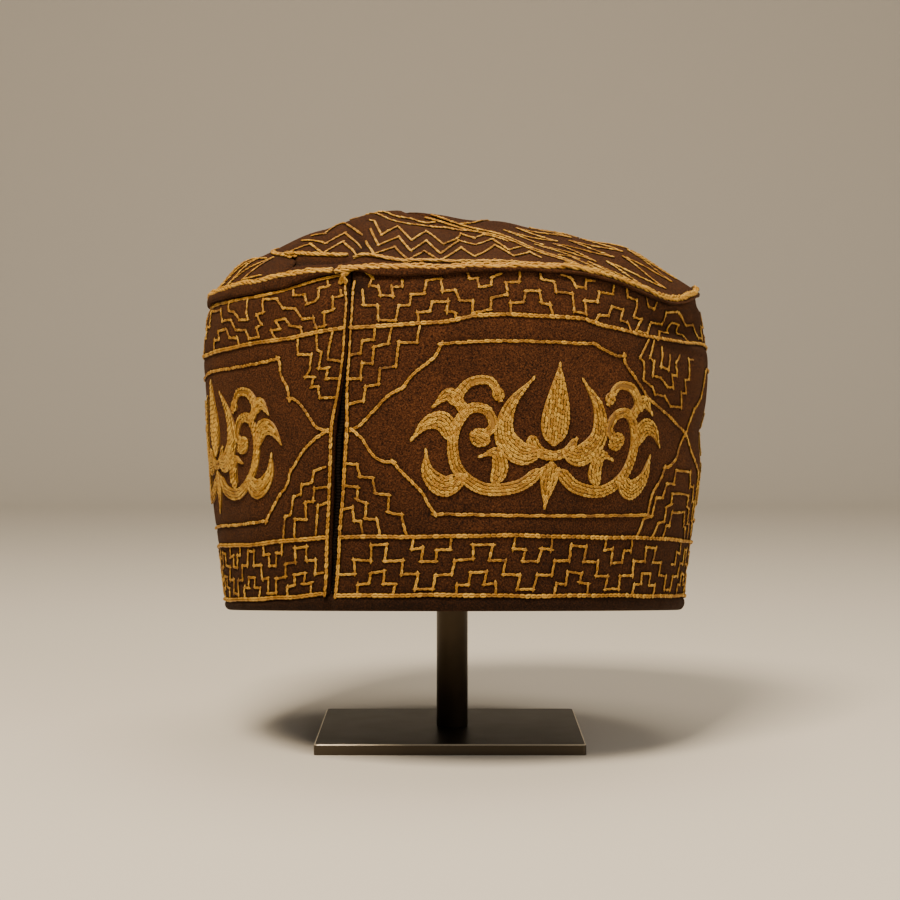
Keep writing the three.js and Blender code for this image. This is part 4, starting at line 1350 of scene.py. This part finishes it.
def plait_tree():
    """A flat bundle of cords sewn down along a path, which cross and wander."""
    tree, given = new_tree("flat_plait", (
        ("Plait Width", 0.0018), ("Plait Pitch", 0.0062), ("Cord Thickness", 0.0014),
        ("Step", 0.0006), ("Wander", 0.0)))
    curve = add_node(tree, "GeometryNodeMeshToCurve", {"Mesh": given["Geometry"]})
    spaced = add_node(tree, "GeometryNodeResampleCurve",
                      {"Curve": curve.outputs[0], "Length": given["Step"]}, mode="LENGTH")
    walked = add_node(tree, "GeometryNodeSplineParameter")
    phase = add_node(tree, "ShaderNodeMath",
                     {0: walked.outputs["Length"], 1: given["Plait Pitch"]}, operation="DIVIDE")
    turn = add_node(tree, "ShaderNodeMath", {0: phase.outputs[0], 1: 2 * math.pi},
                    operation="MULTIPLY")
    normal = add_node(tree, "GeometryNodeInputNamedAttribute", {"Name": "felt_normal"},
                      data_type="FLOAT_VECTOR")
    tangent = add_node(tree, "GeometryNodeInputTangent")
    across = add_node(tree, "ShaderNodeVectorMath",
                      {0: normal.outputs["Attribute"], 1: tangent.outputs[0]},
                      operation="CROSS_PRODUCT")
    half_cord = add_node(tree, "ShaderNodeMath", {0: given["Cord Thickness"], 1: 0.5},
                         operation="MULTIPLY")
    profile = add_node(tree, "GeometryNodeCurvePrimitiveCircle",
                       {"Resolution": 6, "Radius": half_cord.outputs[0]})
    swing = add_node(tree, "ShaderNodeMath", {0: given["Plait Width"], 1: 0.5}, operation="MULTIPLY")
    hop = add_node(tree, "ShaderNodeMath", {0: given["Cord Thickness"], 1: 0.36},
                   operation="MULTIPLY")
    spot = add_node(tree, "GeometryNodeInputPosition")
    cords = []
    for strand in range(PLAIT_CORDS):
        shifted = add_node(tree, "ShaderNodeMath",
                           {0: turn.outputs[0], 1: strand * 2 * math.pi / PLAIT_CORDS},
                           operation="ADD")
        # Cords wander over about 3 mm, each in its own way
        apart = add_node(tree, "ShaderNodeVectorMath", {0: spot.outputs[0], 1: (0.0, 0.0, 0.3 * strand)},
                         operation="ADD")
        drift = add_node(tree, "ShaderNodeTexNoise", {"Vector": apart.outputs[0], "Scale": 330.0})
        drift = add_node(tree, "ShaderNodeVectorMath", {0: drift.outputs["Color"], 1: (0.5, 0.5, 0.5)},
                         operation="SUBTRACT")
        drift = add_node(tree, "ShaderNodeVectorMath",
                         {0: drift.outputs[0], "Scale": given["Wander"]}, operation="SCALE")
        sine = add_node(tree, "ShaderNodeMath", {0: shifted.outputs[0]}, operation="SINE")
        double = add_node(tree, "ShaderNodeMath", {0: shifted.outputs[0], 1: 2.0},
                          operation="MULTIPLY")
        hops = add_node(tree, "ShaderNodeMath", {0: double.outputs[0]}, operation="SINE")
        sideways = add_node(tree, "ShaderNodeMath", {0: sine.outputs[0], 1: swing.outputs[0]},
                            operation="MULTIPLY")
        upwards = add_node(tree, "ShaderNodeMath", {0: hops.outputs[0], 1: hop.outputs[0]},
                           operation="MULTIPLY")
        side_move = add_node(tree, "ShaderNodeVectorMath",
                             {0: across.outputs[0], "Scale": sideways.outputs[0]}, operation="SCALE")
        up_move = add_node(tree, "ShaderNodeVectorMath",
                           {0: normal.outputs["Attribute"], "Scale": upwards.outputs[0]},
                           operation="SCALE")
        move = add_node(tree, "ShaderNodeVectorMath",
                        {0: side_move.outputs[0], 1: up_move.outputs[0]}, operation="ADD")
        move = add_node(tree, "ShaderNodeVectorMath",
                        {0: move.outputs[0], 1: drift.outputs[0]}, operation="ADD")
        laid = add_node(tree, "GeometryNodeSetPosition",
                        {"Geometry": spaced.outputs[0], "Offset": move.outputs[0]})
        cord = add_node(tree, "GeometryNodeCurveToMesh",
                        {"Curve": laid.outputs[0], "Profile Curve": profile.outputs[0],
                         "Fill Caps": True})
        toned = add_node(tree, "GeometryNodeStoreNamedAttribute",
                         {"Geometry": cord.outputs[0], "Name": "tone", "Value": 0.34 + 0.1 * strand},
                         data_type="FLOAT", domain="POINT")
        # Painted shade for the thread's material: 1 where a cord faces out from the felt, 0 where it
        # faces in
        face = add_node(tree, "GeometryNodeInputNormal")
        slant = add_node(tree, "ShaderNodeVectorMath",
                         {0: face.outputs[0], 1: normal.outputs["Attribute"]},
                         operation="DOT_PRODUCT")
        ridge = add_node(tree, "ShaderNodeMath", {0: slant.outputs["Value"], 1: 0.5, 2: 0.5},
                         operation="MULTIPLY_ADD")
        ridged = add_node(tree, "GeometryNodeStoreNamedAttribute",
                          {"Geometry": toned.outputs[0], "Name": "ridge", "Value": ridge.outputs[0]},
                          data_type="FLOAT", domain="POINT")
        cords.append(ridged)
    joined = add_node(tree, "GeometryNodeJoinGeometry")
    for cord in cords:
        tree.links.new(cord.outputs[0], joined.inputs[0])
    soft = add_node(tree, "GeometryNodeSetShadeSmooth", {"Geometry": joined.outputs[0]})
    real = add_node(tree, "GeometryNodeRealizeInstances", {"Geometry": soft.outputs[0]})
    painted = add_node(tree, "GeometryNodeSetMaterial",
                       {"Geometry": real.outputs[0], "Material": given["Material"]})
    add_node(tree, "NodeGroupOutput", {"Geometry": painted.outputs[0]})
    return tree


def run_tree(source, tree, values, name):
    """Runs a tree of Geometry Nodes on an object and keeps the result as a plain mesh."""
    modifier = source.modifiers.new(tree.name, "NODES")
    modifier.node_group = tree
    for item in tree.interface.items_tree:
        if item.in_out == "INPUT" and item.name in values:
            modifier[item.identifier] = values[item.name]
    depsgraph = bpy.context.evaluated_depsgraph_get()
    evaluated = source.evaluated_get(depsgraph)
    mesh = bpy.data.meshes.new_from_object(evaluated, preserve_all_data_layers=True,
                                           depsgraph=depsgraph)
    mesh.name = name
    source.modifiers.remove(modifier)
    bpy.data.objects.remove(source)
    return add_object(name, mesh)


def stitched_piece(name, paths, values, material):
    """One piece of embroidery from its paths."""
    tree = made_once("chain_tree", chain_tree)
    values = dict(values, Material=material)
    thing = run_tree(paths.as_object(name + "_paths"), tree, values, name)
    finish_piece(thing, material, "gold_cord")


class FeltSettings(bpy.types.PropertyGroup):
    """The felt's colours and grain."""

    colour_hex: bpy.props.StringProperty(
        name="Colour", description="Main colour of the felt as sRGB hex", default="#44240f")
    dark_colour_hex: bpy.props.StringProperty(
        name="Pit colour", description="Colour between the nubs as sRGB hex", default="#1b0d05")
    light_colour_hex: bpy.props.StringProperty(
        name="Nap colour", description="Colour of the raised nap as sRGB hex", default="#643c1e")
    nub_size: bpy.props.FloatProperty(
        name="Nub size", description="Distance between nubs of the nap", default=0.00062,
        min=0.0002, unit="LENGTH", subtype="DISTANCE", precision=5)


class ThreadSettings(bpy.types.PropertyGroup):
    """The embroidery thread's colours and stitch sizes."""

    colour_hex: bpy.props.StringProperty(
        name="Colour", description="Main colour of the thread as sRGB hex", default="#b07c1e")
    dark_colour_hex: bpy.props.StringProperty(
        name="Dark colour", description="Colour of the darkest links as sRGB hex", default="#6b420c")
    light_colour_hex: bpy.props.StringProperty(
        name="Light colour", description="Colour of the palest links as sRGB hex", default="#dcae48")
    link_length: bpy.props.FloatProperty(
        name="Link length", description="Length of one chain stitch", default=0.0019,
        min=0.0005, unit="LENGTH", subtype="DISTANCE", precision=5)
    link_width: bpy.props.FloatProperty(
        name="Link width", description="Width of one chain stitch of a border", default=0.0017,
        min=0.0003, unit="LENGTH", subtype="DISTANCE", precision=5)
    strand: bpy.props.FloatProperty(
        name="Strand", description="Thickness of the thread", default=0.00086,
        min=0.0001, unit="LENGTH", subtype="DISTANCE", precision=5)


class StandSettings(bpy.types.PropertyGroup):
    """The stand's colours."""

    colour_hex: bpy.props.StringProperty(
        name="Colour", description="Main colour of the steel as sRGB hex", default="#2f261a")
    dark_colour_hex: bpy.props.StringProperty(
        name="Dark colour", description="Colour of the darker clouds as sRGB hex", default="#1c160e")


class StudioSettings(bpy.types.PropertyGroup):
    """The floor, the lights and the camera."""

    floor_hex: bpy.props.StringProperty(
        name="Floor colour", description="Colour of the floor and backdrop", default="#d9d2c6")
    key_power: bpy.props.FloatProperty(
        name="Key light", description="Power of the main light", default=31.0, min=0.0, unit="POWER")
    fill_power: bpy.props.FloatProperty(
        name="Fill light", description="Power of the side light", default=6.5, min=0.0, unit="POWER")
    camera_distance: bpy.props.FloatProperty(
        name="Camera distance", description="Distance from the camera to the stand", default=0.864,
        min=0.1, unit="LENGTH", subtype="DISTANCE")


class CAP_OT_felt_wall(bpy.types.Operator):
    """Makes the felt wall: one strip whose ends stand apart at the seam"""

    bl_idname = "dervish_cap.felt_wall"
    bl_label = "Felt wall"

    def execute(self, context):
        columns, rows, inner_rows = 500, 94, 14
        share = np.linspace(0, 1, columns)[:, None]
        foot = level_of(BOTTOM_LINE, 360 * share) - 0.3

        def grid(count, offset):
            heights = foot + np.linspace(0, 1, count)[None, :] * (WALL_TOP - foot)
            gap = half_gap(heights)
            angle = sewn_seam(heights) + gap + share * (360 - 2 * gap)
            return wall_point(angle, heights, offset + wall_tuck(heights)), angle, heights

        outer, angle, heights = grid(rows, 0.0)
        closeness = stitch_closeness(outer, ("borders", "frets", "wedges"), STITCH_REACH)
        to_end = np.minimum(share, 1 - share) * WALL_LENGTH
        edge = np.exp(-((to_end / STITCH_REACH) ** 2)) * STITCH_SINK
        sink = STITCH_SINK * closeness + edge
        outer = outer - outward(wall_point, angle, heights) * sink[..., None]
        inner = grid(inner_rows, -WALL_THICKNESS)[0]
        points, faces = sheet_faces(outer, inner)
        wall = mesh_object("felt_wall", to_frame(points), faces)
        # The outer face gets painted shade, the inner face none
        shades = np.ones(len(points))
        shades[:outer.size // 3] = self.shade(angle, heights, closeness).ravel()
        give_values(wall.data, "shade", nearest_values(points, shades, wall))
        felt = made_once("felt", felt_material, context.scene.dervish_felt)
        finish_piece(wall, felt, "brown_felt", "wall_band")
        return {"FINISHED"}

    def shade(self, angle, heights, closeness):
        """Painted shade towards the hem, under the lip, in the front right fold, by the seam's top and
        by stitches.
        """
        dark = 1 - 0.42 * (1 - ease(heights / 75.0)) - 0.2 * ease((heights - 117.0) / 7.0)
        fold = bump(around(angle - 62.0) / 38.0) * bump((heights - 108.0) / 17.0)
        knot = np.exp(-(((around(angle - sewn_seam(heights)) - 2.0) / 2.8) ** 2))
        knot = knot * bump((heights - 119.0) / 10.0)
        return dark * (1 - 0.5 * fold) * (1 - 0.8 * knot) * (1 - 0.4 * closeness)


class CAP_OT_felt_hem(bpy.types.Operator):
    """Makes the rolled felt hem round the wall's lower edge"""

    bl_idname = "dervish_cap.felt_hem"
    bl_label = "Felt hem"

    def execute(self, context):
        angles = np.linspace(-180, 180, 480, endpoint=False)
        around_roll = np.linspace(0, 2 * np.pi, 16, endpoint=False)
        loops = []
        for angle in angles:
            wave = 0.18 * math.sin(math.radians(angle) * 37) + 0.12 * math.sin(math.radians(angle) * 61)
            turn = (angle - SEAM_BOTTOM) % 360
            top = float(level_of(BOTTOM_LINE, turn)) - 0.1
            height = (top - ROLL_DROP) / 2 + (top + ROLL_DROP) / 2 * np.sin(around_roll)
            offset = ROLL_MIDDLE + (ROLL_HALF + wave * 0.6) * np.cos(around_roll)
            pinch = 1.3 * math.exp(-((around(angle - SEAM_BOTTOM) / 1.1) ** 2))
            offset = np.maximum(offset - pinch, -3.9)
            loops.append(wall_point(np.full_like(height, angle), height, offset))
        points, faces = swept_faces(np.array(loops), True)
        hem = mesh_object("felt_hem", to_frame(points), faces)
        give_values(hem.data, "shade", np.full(len(hem.data.vertices), HEM_SHADE))
        felt = made_once("felt", felt_material, context.scene.dervish_felt)
        finish_piece(hem, felt, "brown_felt", "hem_binding")
        return {"FINISHED"}


class CAP_OT_seam_tape(bpy.types.Operator):
    """Makes the dark tape behind the open seam and the waxed cord that lies in it"""

    bl_idname = "dervish_cap.seam_tape"
    bl_label = "Seam tape"

    def execute(self, context):
        heights = np.linspace(6.0, 119.0, 90)
        half = math.degrees(TAPE_WIDTH / 2 / TAPE_RADIUS)
        front, back = [], []
        for share in np.linspace(-1, 1, 13):
            angle = sewn_seam(heights) + half * share
            rib = 0.1 * np.sin(heights * 5.2) - 0.1
            offset = -WALL_THICKNESS - 0.35 + wall_tuck(heights)
            front.append(wall_point(angle, heights, offset + rib))
            back.append(wall_point(angle, heights, offset - TAPE_THICKNESS))
        points, faces = sheet_faces(np.array(front), np.array(back))
        tape = mesh_object("seam_tape", to_frame(points), faces)
        dark = made_once("tape", dark_tape_material)
        finish_piece(tape, dark, "dark_lining", "seam_backing")
        heights = np.linspace(5.5, 119.0, 120)
        sway = 0.35 * np.sin(heights / 5.0) + 0.2 * np.sin(heights / 2.1)
        cord = StitchPaths(wall_point)
        cord.run(sewn_seam(heights) + np.degrees(sway / WALL_RADIUS), heights, -2.2, 1.0, 0.1)
        tree = made_once("plait_tree", plait_tree)
        values = {"Plait Width": 0.0011, "Plait Pitch": 0.0038, "Cord Thickness": 0.0009,
                  "Step": 0.0006, "Material": dark}
        thing = run_tree(cord.as_object("seam_cord_path"), tree, values, "seam_cord")
        finish_piece(thing, dark, "dark_lining")
        return {"FINISHED"}


class CAP_OT_crown_gores(bpy.types.Operator):
    """Makes the crown's four felt gores, each with its lip turned down over the wall"""

    bl_idname = "dervish_cap.crown_gores"
    bl_label = "Crown gores"

    def execute(self, context):
        names = ("front", "right", "back", "left")
        felt = made_once("felt", felt_material, context.scene.dervish_felt)
        for name, (start, end) in zip(names, GORES):
            columns = int((end - start) * 1.2)
            # Rows stand a little closer towards the foot, and stop just short of the top
            rises = 0.992 * np.linspace(0, 1, 76) ** 1.08
            inner_rises = np.linspace(0.02, 0.985, 14)
            share = np.linspace(0, 1, columns)[:, None]

            def grid(rise, lift):
                rise = rise[None, :]
                spare = np.degrees(0.12 / (RIDGE_RADIUS * (1 - rise)))
                left, right = hip_angle(start, rise) + spare, hip_angle(end, rise) - spare
                angle = left + share * (right - left)
                rise = np.broadcast_to(rise, angle.shape)
                to_edge = np.minimum(angle - left, right - angle)
                to_edge = to_edge * np.radians(RIDGE_RADIUS) * (1 - rise)
                return crown_point(angle, rise, lift), angle, rise, to_edge

            def lip(profile, wave):
                angle = start + 0.07 + share[:, 0] * (end - start - 0.14)
                rows = []
                for height, offset in profile:
                    ripple = wave * (0.22 * np.sin(np.radians(angle) * 29) +
                                     0.16 * np.sin(np.radians(angle) * 47 + 1.0))
                    free = (126.5 - height) / 4
                    level = height + (ripple + lip_edge(angle) - 122.5) * free
                    rows.append(wall_point(angle, level, offset))
                return np.stack(rows, 1)

            top, angle, rise, to_edge = grid(rises, 0.0)
            closeness = stitch_closeness(top, ("crown",), STITCH_REACH)
            sink = STITCH_SINK * closeness + 0.8 * np.exp(-((to_edge / 0.9) ** 2))
            top = top - outward(crown_point, angle, rise) * sink[..., None]
            # Painted shade over the whole crown, and more beside the stitches, in the crease over the
            # seam and in the hollow under the front gore's edge
            dark = 0.74 - 0.3 * closeness - 0.4 * crease_share(angle, rise)
            dark = dark - 0.4 * overlap_share(angle, rise)
            outer = np.concatenate([lip(LIP_PROFILE, 1.0), top], 1)
            inner = np.concatenate([lip(LIP_INSIDE, 0.0), grid(inner_rises, -CROWN_THICKNESS)[0]], 1)
            points, faces = sheet_faces(outer, inner)
            gore = mesh_object("crown_felt_" + name, to_frame(points), faces)
            shades = np.full(len(points), LIP_SHADE)
            lip_shades = np.full((columns, len(LIP_PROFILE)), LIP_SHADE)
            shades[:outer.size // 3] = np.concatenate([lip_shades, dark], 1).ravel()
            give_values(gore.data, "shade", nearest_values(points, shades, gore))
            finish_piece(gore, felt, "brown_felt", "crown_gore_" + name)
        return {"FINISHED"}


class CAP_OT_plaits(bpy.types.Operator):
    """Makes the gold braid round the ridge and the one across the front gore's foot"""

    bl_idname = "dervish_cap.plaits"
    bl_label = "Gold braids"

    def execute(self, context):
        settings = context.scene.dervish_thread
        gold = made_once("plait_gold", thread_material, "plaited_silk_cord", settings, 0.08)
        tree = made_once("plait_tree", plait_tree)
        ridge = StitchPaths(wall_point)
        angles = np.linspace(BRAID_START, BRAID_END, 620)
        ripple = 0.25 * np.sin(np.radians(angles) * 17) + 0.2 * np.sin(np.radians(angles) * 31)
        ridge.run(angles, np.interp(around(angles), *RIDGE_CORD.T) + ripple, 1.5, 1.0, 0.5)
        source = ridge.as_object("ridge_path")
        normals = turn_directions(outward(wall_point, angles, np.full_like(angles, 120.0)))
        tops = turn_directions(np.array([[0.0, 0.0, 1.0]]))
        # The braid lies on the ridge's corner, so it faces up as well as out
        slanted = normals * 0.75 + tops * 0.66
        slanted = slanted / np.linalg.norm(slanted, axis=1, keepdims=True)
        source.data.attributes["felt_normal"].data.foreach_set(
            "vector", slanted.astype(np.float32).ravel())
        values = {"Plait Width": 0.0019, "Plait Pitch": 0.0156, "Cord Thickness": 0.00105,
                  "Step": 0.00088, "Wander": 0.0016, "Material": gold}
        braid = run_tree(source, tree, values, "ridge_plait")
        finish_piece(braid, gold, "gold_cord", "ridge_braid")
        front = StitchPaths(crown_point)
        for path in GORE_BRAIDS:
            line = smooth_curve(path, 90)
            front.run(line[:, 0], line[:, 1], 0.75, 1.0, 0.5)
        values.update({"Plait Width": 0.0011, "Cord Thickness": 0.0008, "Plait Pitch": 0.011})
        braid = run_tree(front.as_object("gore_path"), tree, values, "gore_plait")
        finish_piece(braid, gold, "gold_cord", "gore_braid")
        return {"FINISHED"}


class CAP_OT_seam_tuft(bpy.types.Operator):
    """Makes the small tuft of gold thread that closes the top of the seam"""

    bl_idname = "dervish_cap.seam_tuft"
    bl_label = "Seam tuft"

    def execute(self, context):
        settings = context.scene.dervish_thread
        random = np.random.default_rng(11)
        tuft = StitchPaths(wall_point)
        centre = float(sewn_seam(124.0)) - 1.1
        for number in range(26):
            high = number % 2
            middle = TUFT_HEIGHTS[high]
            angle = random.uniform(-0.5, 0.5) if high else random.uniform(0.7, 2.3)
            reach = random.uniform(1.0, 2.3)
            share = np.linspace(-1, 1, 7)
            first = centre + np.degrees(np.cos(angle) * share * reach / WALL_RADIUS)
            second = middle + np.sin(angle) * share * reach
            lift = 1.3 + random.uniform(0.5, 1.3) * (1 - share**2)
            tuft.run(first, second, lift, 1.0, random.uniform(0.3, 0.7))
        gold = made_once("plait_gold", thread_material, "plaited_silk_cord", settings, 0.08)
        values = {"Link Length": 0.0014, "Link Width": 0.0013, "Strand Thickness": 0.0006,
                  "Loop Sides": 8, "Strand Sides": 4, "Seed": 4}
        tree = made_once("chain_tree", chain_tree)
        thing = run_tree(tuft.as_object("tuft_paths"), tree, dict(values, Material=gold), "seam_tuft")
        finish_piece(thing, gold, "gold_cord", "seam_knot")
        return {"FINISHED"}


class CAP_OT_embroidery(bpy.types.Operator):
    """Makes the chain-stitched borders, key bands, stepped pyramids and crown zigzags"""

    bl_idname = "dervish_cap.embroidery"
    bl_label = "Embroidered lines"

    def execute(self, context):
        settings = context.scene.dervish_thread
        gold = made_once("line_gold", thread_material, "chain_stitched_silk", settings, 0.0)
        plan = stitch_plan()
        for seed, name in enumerate(("borders", "frets", "wedges", "crown"), start=3):
            # The borders are worked in longer links
            length = settings.link_length * (1.12 if name == "borders" else 1.0)
            values = {"Link Length": length, "Link Width": settings.link_width,
                      "Strand Thickness": settings.strand, "Loop Sides": 8, "Strand Sides": 4,
                      "Seed": seed}
            stitched_piece("stitched_" + name, plan[name], values, gold)
        return {"FINISHED"}


class CAP_OT_arabesques(bpy.types.Operator):
    """Makes the filled arabesque in each cartouche: rows of chain stitch on a raised bed"""

    bl_idname = "dervish_cap.arabesques"
    bl_label = "Filled arabesques"

    def execute(self, context):
        settings = context.scene.dervish_thread
        gold = made_once("fill_gold", thread_material, "filled_silk_chain_stitch", settings, 0.1)
        plan = stitch_plan()
        values = {"Link Length": settings.link_length * 0.95, "Link Width": 0.00125,
                  "Strand Thickness": 0.0006, "Loop Sides": 6, "Strand Sides": 3, "Seed": 12}
        stitched_piece("stitched_fills", plan["fills"], values, gold)
        points, faces = [], []
        for spots, swell, place in plan["beds"]:
            first, second = place(spots)
            normal = outward(wall_point, first, second)
            base = wall_point(first, second)
            top = base + normal * swell[..., None]
            under = base - normal * 0.35
            block, block_faces = sheet_faces(top, under)
            start = sum(len(block_points) for block_points in points)
            points.append(to_frame(block))
            faces += [tuple(index + start for index in face) for face in block_faces]
        bed = mesh_object("arabesque_beds", np.concatenate(points), faces)
        # The bed shows only in the gaps between rows: a low tone, and a fixed painted shade through its
        # ridge value
        for name, value in (("tone", 0.25), ("ridge", 0.6)):
            give_values(bed.data, name, np.full(len(bed.data.vertices), value))
        finish_piece(bed, gold, "gold_cord")
        return {"FINISHED"}


class CAP_OT_stand(bpy.types.Operator):
    """Makes the stand's post, and gives its foot plate and head their steel"""

    bl_idname = "dervish_cap.stand"
    bl_label = "Display stand"

    def execute(self, context):
        settings = context.scene.dervish_stand
        flat = made_once("steel_flat", steel_material, settings, False)
        upright = made_once("steel_upright", steel_material, settings, True)
        for name in ("stand_base", "stand_head"):
            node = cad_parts[name]
            node.data.materials.clear()
            node.data.materials.append(flat)
        low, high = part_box("stand_post")
        turns = np.linspace(0, 2 * np.pi, 64, endpoint=False)
        radius = POST_DIAMETER / 2
        profile = [(radius - POST_CHAMFER, low[2] / MM), (radius, low[2] / MM + POST_CHAMFER),
                   (radius, high[2] / MM - POST_CHAMFER), (radius - POST_CHAMFER, high[2] / MM)]
        loops = [np.stack([POST_SHIFT + r * np.cos(turns), r * np.sin(turns),
                           np.full_like(turns, z)], -1) for r, z in profile]
        points, faces = swept_faces(np.array(loops), False)
        post = mesh_object("steel_post", points * MM, faces)
        post.data.polygons[-1].use_smooth = False
        finish_piece(post, upright, "dark_metal", "stand_post")
        return {"FINISHED"}


class CAP_OT_studio(bpy.types.Operator):
    """Makes the floor with its curved backdrop, the soft lights and the camera"""

    bl_idname = "dervish_cap.studio"
    bl_label = "Studio"

    def execute(self, context):
        settings = context.scene.dervish_studio
        self.make_floor(settings)
        self.make_lights(context, settings)
        self.make_camera(context, settings)
        return {"FINISHED"}

    def make_floor(self, settings):
        bends = np.linspace(0, np.pi / 2, 24)
        run, radius = 1.5, 0.5
        y = np.concatenate([[-3.0, 0.0], run + radius * np.sin(bends), [run + radius]])
        z = np.concatenate([[0.0, 0.0], radius * (1 - np.cos(bends)), [4.0]])
        points = [(side, a, b) for a, b in zip(y, z) for side in (-4.0, 4.0)]
        faces = [(2 * i, 2 * i + 1, 2 * i + 3, 2 * i + 2) for i in range(len(y) - 1)]
        mesh = bpy.data.meshes.new("studio_floor")
        mesh.from_pydata(points, [], faces)
        mesh.polygons.foreach_set("use_smooth", [True] * len(faces))
        mesh.materials.append(made_once("paper", paper_material, settings))
        add_object("studio_floor", mesh)

    def make_lights(self, context, settings):
        lamps = (
            ("key", (-0.3, -0.7, 1.3), 0.45, settings.key_power, "#ffedd2"),
            ("fill", (0.95, -0.8, 0.55), 0.8, settings.fill_power, "#fff4e6"),
            ("top", (0.1, 0.3, 1.25), 0.6, settings.key_power * 0.2, "#fff0d8"),
        )
        for name, place, size, power, colour in lamps:
            light = bpy.data.lights.new(name, "AREA")
            light.size = size
            light.energy = power
            light.color = linear(colour)[:3]
            lamp = add_object(name, light)
            lamp.location = place
            aim = np.array([0.0, 0.0, 0.12]) - np.array(place)
            lamp.rotation_euler = (math.atan2(math.hypot(aim[0], aim[1]), -aim[2]), 0,
                                   math.atan2(-aim[0], aim[1]))
        world = bpy.data.worlds.new("studio_air")
        world.use_nodes = True
        background = world.node_tree.nodes["Background"]
        background.inputs["Color"].default_value = linear("#efe9e0")
        background.inputs["Strength"].default_value = 0.22
        context.scene.world = world

    def make_camera(self, context, settings):
        camera = bpy.data.cameras.new("photo_view")
        camera.lens = LENS_LENGTH
        camera.sensor_width = 36.0
        camera.shift_y = -HORIZON_RISE / PHOTO_SIZE
        thing = add_object("photo_view", camera)
        thing.location = (0.0, -settings.camera_distance, EYE_HEIGHT)
        thing.rotation_euler = (math.pi / 2, 0, 0)
        context.scene.camera = thing


class CAP_PT_panel(bpy.types.Panel):
    """Lists the cap's pieces in the sidebar"""

    bl_idname = "CAP_PT_panel"
    bl_label = "Dervish cap"
    bl_space_type = "VIEW_3D"
    bl_region_type = "UI"
    bl_category = "Dervish cap"

    def draw(self, context):
        for group in ("dervish_felt", "dervish_thread", "dervish_stand", "dervish_studio"):
            settings = getattr(context.scene, group)
            box = self.layout.box()
            for name in settings.__annotations__:
                box.prop(settings, name)
        for operator in OPERATORS:
            self.layout.operator(operator.bl_idname)


SETTINGS = {
    "dervish_felt": FeltSettings,
    "dervish_thread": ThreadSettings,
    "dervish_stand": StandSettings,
    "dervish_studio": StudioSettings,
}
OPERATORS = (CAP_OT_felt_wall, CAP_OT_felt_hem, CAP_OT_seam_tape, CAP_OT_crown_gores, CAP_OT_plaits,
             CAP_OT_seam_tuft, CAP_OT_embroidery, CAP_OT_arabesques, CAP_OT_stand, CAP_OT_studio)


def register():
    for name, group in SETTINGS.items():
        bpy.utils.register_class(group)
        setattr(bpy.types.Scene, name, bpy.props.PointerProperty(type=group))
    for kind in (*OPERATORS, CAP_PT_panel):
        bpy.utils.register_class(kind)


def unregister():
    for kind in (CAP_PT_panel, *reversed(OPERATORS)):
        bpy.utils.unregister_class(kind)
    for name, group in SETTINGS.items():
        delattr(bpy.types.Scene, name)
        bpy.utils.unregister_class(group)


def main():
    register()
    bpy.ops.dervish_cap.felt_wall()
    bpy.ops.dervish_cap.felt_hem()
    bpy.ops.dervish_cap.seam_tape()
    bpy.ops.dervish_cap.crown_gores()
    bpy.ops.dervish_cap.plaits()
    bpy.ops.dervish_cap.seam_tuft()
    bpy.ops.dervish_cap.embroidery()
    bpy.ops.dervish_cap.arabesques()
    bpy.ops.dervish_cap.stand()
    bpy.ops.dervish_cap.studio()


if __name__ == "__main__":
    main()
